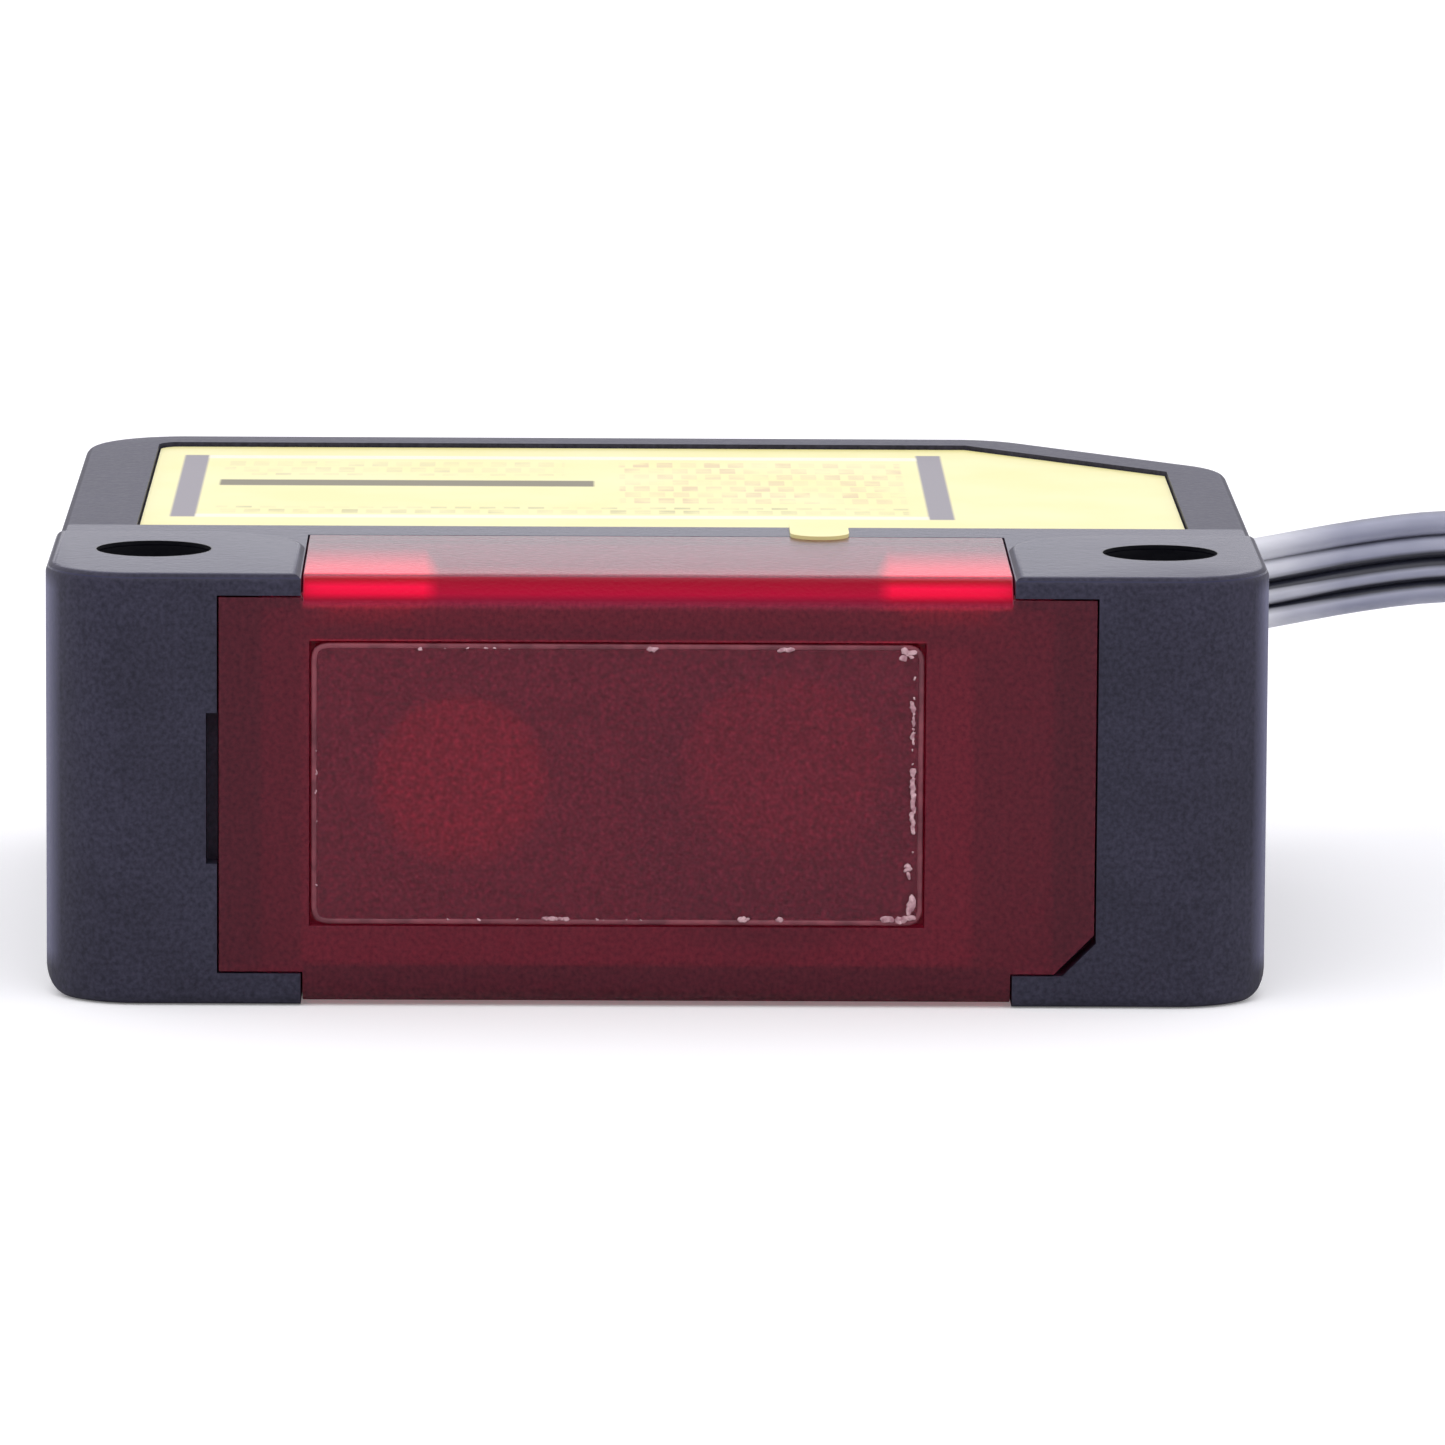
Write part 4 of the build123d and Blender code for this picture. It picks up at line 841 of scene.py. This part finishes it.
line = put(tree, "GeometryNodeSetCurveRadius", {"Curve": line, "Radius": radius}).outputs[0]
section = put(tree, "GeometryNodeObjectInfo", {"Object": given["Outline"]})
outline = put(
    tree, "GeometryNodeMeshToCurve", {"Mesh": section.outputs["Geometry"]}
).outputs[0]
swept = {"Curve": line, "Profile Curve": outline, "Fill Caps": True}
skin = put(tree, "GeometryNodeCurveToMesh", swept).outputs[0]
smooth = put(tree, "GeometryNodeSetShadeSmooth", {"Geometry": skin}).outputs[0]
real = put(tree, "GeometryNodeRealizeInstances", {"Geometry": smooth}).outputs[0]
dressed = {"Geometry": real, "Material": given["Finish"]}
painted = put(tree, "GeometryNodeSetMaterial", dressed).outputs[0]
tree.links.new(painted, result.inputs[0])
SWEEP = tree


def sweep(piece, outline_piece, material, step_mm, **values):
    """Sweep an outline along a piece's line, and turn its faces outward."""
    chosen = {"Outline": outline_piece, "Finish": material, "Step": step_mm * MM}
    run_recipe(piece, SWEEP, {**chosen, **values})
    bpy.data.objects.remove(outline_piece)
    shape = bmesh.new()
    shape.from_mesh(piece.data)
    bmesh.ops.remove_doubles(shape, verts=shape.verts, dist=1e-7)
    bmesh.ops.recalc_face_normals(shape, faces=shape.faces)
    shape.to_mesh(piece.data)
    shape.free()
    piece.data.set_sharp_from_angle(angle=math.radians(50))
    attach(piece, "root")


# %% [markdown]
# The outline of the lead is four circles in a row that melt into each other a little.
# Going round it once, only the outer arc of each circle is kept.

# %% Ribbed lead
STRAND_RADIUS = 0.37
STRAND_PLACES = (-1.05, -0.352, 0.352, 1.05)
# Painted shade on the crown of the first strand, in the three grooves, and past the last
# strand.
# The first strand is the top one where the lead leaves the body.
GROOVE_WEIGHTS = (0.16, 0.27, 2.3, 0.95, 0)
ARC_STEPS = 6

outline_side = []
for index, centre in enumerate(STRAND_PLACES):
    low, high = -math.pi / 2, math.pi / 2
    if index:
        low = -math.asin((centre - STRAND_PLACES[index - 1]) / 2 / STRAND_RADIUS)
    if index < len(STRAND_PLACES) - 1:
        high = math.asin((STRAND_PLACES[index + 1] - centre) / 2 / STRAND_RADIUS)
    for step in range(1 if index else 0, ARC_STEPS + 1):
        angle = low + (high - low) * step / ARC_STEPS
        across = STRAND_RADIUS * math.cos(angle)
        up = centre + STRAND_RADIUS * math.sin(angle)
        dark = GROOVE_WEIGHTS[sum(up > place for place in STRAND_PLACES)]
        dark *= 1 - across / STRAND_RADIUS
        outline_side.append((across, up, dark))
outline_back = [(-across, up, dark) for across, up, dark in reversed(outline_side[1:-1])]
outline_points = outline_side + outline_back
strands = new_loop(
    "strand_outline",
    [(across, up, 0) for across, up, dark in outline_points],
    groove=[dark for across, up, dark in outline_points],
)
lead = new_loop(
    "ribbed_lead",
    [tuple(point / MM) for point in LEAD_PATH],
    closed=False,
    swell=[1.0] * len(LEAD_PATH),
)
sweep(
    lead,
    strands,
    LEAD_PVC,
    1.25,
    Upright=True,
    Twist=math.pi / 2,
    **{"Twist Length": 16 * MM},
)
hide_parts("cable", "cable_coil", "cable_tail")

# %% [markdown]
# The band that ties the coil is a strip of soft nylon with rounded edges and fine ribs
# along it. It wraps both layers of turns, and the coil rests on its lower run.

# %% Coil band
BAND_WIDTH, BAND_THICK, BAND_RIBS, RIB_HALF_DEPTH = 2.3, 0.29, 5, 0.025
COIL_INSIDE, COIL_OUTSIDE = 10.725, 21.575
BAND_LOOP = (11.39, 6.07, 0.45)
BAND_MIDDLE_Z = 3.185

rib_steps = BAND_RIBS * 4
upper_side = [
    (
        BAND_WIDTH * (step / rib_steps - 0.5),
        BAND_THICK / 2
        - RIB_HALF_DEPTH * (1 - math.cos(math.tau * BAND_RIBS * step / rib_steps)),
        0,
    )
    for step in range(rib_steps + 1)
]
lower_side = [(across, -up, 0) for across, up, level_z in reversed(upper_side)]
band_loop = [
    (COIL_X, COIL_Y - (COIL_INSIDE + COIL_OUTSIDE) / 2 + along, BAND_MIDDLE_Z + up)
    for along, up in rounded_loop(*BAND_LOOP)
]
band = new_loop("lead_tie", band_loop, swell=[1.0] * len(band_loop))
sweep(band, new_loop("band_outline", upper_side + lower_side), FINISHES["coil_tie"], 0.3)
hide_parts("coil_tie")

# %% [markdown]
# The window plate is bonded in by hand, and that shows. A thin bead runs round it, a
# little thicker at the right side. It is swept like the lead, with a circle for its
# outline, and a noise makes it thicker and thinner along its way.

# %% Bead of adhesive
WINDOW_MIDDLE = (-1.1, 6.2)
BEAD_LOOP = (16.66, 7.66, 0.3)
BEAD_Y = FRONT_Y + 0.075
BEAD_RADIUS = 0.085

bead_places = []
bead_swell = []
for across, up in rounded_loop(*BEAD_LOOP, steps=2):
    bead_places.append((WINDOW_MIDDLE[0] + across, BEAD_Y, WINDOW_MIDDLE[1] + up))
    bead_swell.append(0.8 if across > 0 else 0.5)
bead = new_loop("window_bead", bead_places, swell=bead_swell)
bead_angles = [math.tau * step / 8 for step in range(8)]
bead_circle = [
    (BEAD_RADIUS * math.cos(angle), BEAD_RADIUS * math.sin(angle), 0) for angle in bead_angles
]
bead_outline = new_loop("bead_outline", bead_circle)
sweep(bead, bead_outline, FINISHES["window_glue"], 0.16, Unevenness=0.3)
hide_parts("window_glue")

# %% [markdown]
# Little flecks of cured adhesive sit on the edge of the plate, most of them at the right
# side and in the lower right corner. They are flat drops: a second tree sets one on every
# point of small clusters, each with its own size and turn, and pushes their skin about a
# little so that none is a plain ball.

# %% Flecks of adhesive
CLUSTERS = [
    # middle x and z, spread in x and z, how many, size, all lengths in mm
    ((-5.0, 9.98), (1.8, 0.02), 8, 0.035),
    ((-0.1, 9.98), (0.25, 0.02), 5, 0.065),
    ((3.5, 9.98), (0.2, 0.02), 4, 0.065),
    ((6.88, 9.88), (0.16, 0.1), 10, 0.085),
    ((7.0, 8.4), (0.03, 0.12), 4, 0.055),
    ((7.0, 7.57), (0.03, 0.15), 5, 0.055),
    ((7.02, 5.75), (0.03, 1.1), 34, 0.065),
    ((7.03, 7.2), (0.02, 2.2), 26, 0.04),
    ((6.92, 3.8), (0.05, 0.2), 5, 0.065),
    ((6.98, 2.85), (0.08, 0.35), 13, 0.085),
    ((6.7, 2.5), (0.4, 0.06), 13, 0.085),
    ((2.35, 2.46), (0.12, 0.03), 5, 0.07),
    ((3.34, 2.46), (0.16, 0.03), 4, 0.055),
    ((-2.75, 2.45), (0.35, 0.02), 8, 0.055),
    ((-1.5, 2.44), (4.5, 0.02), 12, 0.03),
    ((-9.37, 6.0), (0.02, 3.0), 8, 0.028),
]
FLATNESS = 0.45
LUMPS_PER_METRE, LUMP_PUSH = 11000, 0.11


def on_upright_side(x, z):
    """Whether a fleck lies on the left or the right side of the window, not in a corner."""
    return abs(x - WINDOW_MIDDLE[0]) > 8 and 2.6 < z < 9.7


draw = random.Random(7)
FLECKS = []
for middle, spread, count, size in CLUSTERS:
    for step in range(count):
        x, z = [draw.gauss(at, wide / 2) for at, wide in zip(middle, spread)]
        FLECKS.append((x, z, size * draw.uniform(0.5, 1.1), draw.uniform(1.0, 2.4)))
flecks = new_loop(
    "adhesive_flecks",
    [(x, FRONT_Y - 0.01, z) for x, z, size, ratio in FLECKS],
    closed=False,
    fleck_size=[size * MM for x, z, size, ratio in FLECKS],
    fleck_long=[size * ratio * MM for x, z, size, ratio in FLECKS],
    fleck_stands=[float(on_upright_side(x, z)) for x, z, size, ratio in FLECKS],
)
tree, given, result = new_recipe("strewn_drops", {"Finish": "Material", "Seed": "Int"})
drop = put(tree, "GeometryNodeMeshIcoSphere", {"Radius": 1, "Subdivisions": 2}).outputs[0]
size, long, stands = [
    put(tree, "GeometryNodeInputNamedAttribute", {"Name": label}, data_type="FLOAT").outputs[0]
    for label in ("fleck_size", "fleck_long", "fleck_stands")
]
flat = put(tree, "ShaderNodeMath", {0: size, 1: FLATNESS}, operation="MULTIPLY").outputs[0]
drop_scale = put(tree, "ShaderNodeCombineXYZ", {0: long, 1: flat, 2: size}).outputs[0]
random_turn = put(
    tree, "FunctionNodeRandomValue", {2: -0.3, 3: 0.3, "Seed": given["Seed"]}, data_type="FLOAT"
).outputs[1]
upright = {0: stands, 1: math.pi / 2, 2: random_turn}
angle = put(tree, "ShaderNodeMath", upright, operation="MULTIPLY_ADD").outputs[0]
turn = put(tree, "ShaderNodeCombineXYZ", {1: angle}).outputs[0]
strewn = put(
    tree,
    "GeometryNodeInstanceOnPoints",
    {"Points": given["Geometry"], "Instance": drop, "Rotation": turn, "Scale": drop_scale},
).outputs[0]
real = put(tree, "GeometryNodeRealizeInstances", {"Geometry": strewn}).outputs[0]
lumps = {"Scale": LUMPS_PER_METRE, "Detail": 1}
lumps = put(tree, "ShaderNodeTexNoise", lumps).outputs["Color"]
push = put(tree, "ShaderNodeVectorMath", {0: lumps, 1: (0.5, 0.5, 0.5)}, operation="SUBTRACT")
push = {0: push.outputs[0], "Scale": LUMP_PUSH * MM}
push = put(tree, "ShaderNodeVectorMath", push, operation="SCALE").outputs[0]
lumpy = put(tree, "GeometryNodeSetPosition", {"Geometry": real, "Offset": push}).outputs[0]
smooth = put(tree, "GeometryNodeSetShadeSmooth", {"Geometry": lumpy}).outputs[0]
dressed = {"Geometry": smooth, "Material": given["Finish"]}
painted = put(tree, "GeometryNodeSetMaterial", dressed).outputs[0]
tree.links.new(painted, result.inputs[0])
run_recipe(flecks, tree, {"Finish": PALE_ADHESIVE, "Seed": 3})
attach(flecks, "root")

# %% [markdown]
# The studio is a pale floor without a visible horizon. The camera sees it nearly white,
# darker where the head keeps the light away. Every other ray meets a plain matt floor.

# %% Floor
FLOOR_REACH, FLOOR_Z = 3, -0.00002

corners = [
    (side * FLOOR_REACH, depth * FLOOR_REACH, FLOOR_Z)
    for side, depth in ((-1, -1), (1, -1), (1, 1), (-1, 1))
]
floor_mesh = bpy.data.meshes.new("floor")
floor_mesh.from_pydata(corners, [], [(0, 1, 2, 3)])
floor = new_piece("floor", floor_mesh)
paper = bpy.data.materials.new("white_paper_floor")
paper.use_nodes = True
tree = paper.node_tree
tree.nodes.clear()
by_camera = put(tree, "ShaderNodeLightPath").outputs["Is Camera Ray"]
matt = put(tree, "ShaderNodeBsdfDiffuse", {"Color": (0.8, 0.8, 0.8, 1)}).outputs[0]
bright = put(tree, "ShaderNodeBsdfDiffuse", {"Color": (0.98, 0.98, 0.98, 1)}).outputs[0]
lift = put(tree, "ShaderNodeEmission", {"Strength": 0.16}).outputs[0]
seen = put(tree, "ShaderNodeAddShader", {0: bright, 1: lift}).outputs[0]
pick = put(tree, "ShaderNodeMixShader", {0: by_camera, 1: matt, 2: seen}).outputs[0]
put(tree, "ShaderNodeOutputMaterial", {"Surface": pick})
floor_mesh.materials.append(paper)

# %% [markdown]
# The room is bright at the back and the sides and dim at the front, as it is round a
# camera, so the front faces stay deep and the tops and edges catch the light. The camera
# itself sees plain white.

# %% Room
world = bpy.data.worlds.new("studio")
bpy.context.scene.world = world
world.use_nodes = True
tree = world.node_tree
tree.nodes.clear()
by_camera = put(tree, "ShaderNodeLightPath").outputs["Is Camera Ray"]
way = put(tree, "ShaderNodeTexCoord").outputs["Generated"]
_, depth, up = put(tree, "ShaderNodeSeparateXYZ", {0: way}).outputs
limits = {0: depth, "From Min": -0.45, "From Max": 0.15, "To Min": 0.34, "To Max": 1.1}
walls = put(tree, "ShaderNodeMapRange", limits, interpolation_type="SMOOTHSTEP").outputs[0]
limits = {0: up, "From Min": 0.3, "From Max": 0.8}
high = put(tree, "ShaderNodeMapRange", limits, interpolation_type="SMOOTHSTEP").outputs[0]
limits = {0: up, "From Min": 0.84, "From Max": 0.97, "To Min": 1.2, "To Max": 0.5}
ceiling = put(tree, "ShaderNodeMapRange", limits, interpolation_type="SMOOTHSTEP").outputs[0]
room = put(tree, "ShaderNodeMix", {0: high, 2: walls, 3: ceiling}).outputs[0]
level = put(tree, "ShaderNodeMix", {0: by_camera, 2: room, 3: 1.0}).outputs[0]
tint = {0: by_camera, 6: (0.975, 0.965, 1.02, 1), 7: (1, 1, 1, 1)}
tint = put(tree, "ShaderNodeMix", tint, data_type="RGBA").outputs[2]
sky = put(tree, "ShaderNodeBackground", {"Color": tint, "Strength": level}).outputs[0]
put(tree, "ShaderNodeOutputWorld", {"Surface": sky})
print("room made")

# %% [markdown]
# Two broad, weak lamps add the soft direction that a room alone doesn't have: one over
# the camera's left shoulder, and a smaller one at the right for the end of the body.


# %% Lamps
def lamp(name, place, size, watts):
    """A broad square lamp that looks at the sensor."""
    data = bpy.data.lights.new(name, "AREA")
    data.size = size
    data.energy = watts
    lamp_object = new_piece(name, data)
    aim = (-Vector(place)).to_track_quat("-Z", "Y")
    lamp_object.matrix_world = Matrix.Translation(place) @ aim.to_matrix().to_4x4()


lamp("front_top_lamp", (-0.15, -0.45, 0.65), 0.8, 1.6)
lamp("right_lamp", (0.65, -0.35, 0.25), 0.4, 0.5)
bpy.context.scene.view_settings.view_transform = "Standard"
print("studio ready")
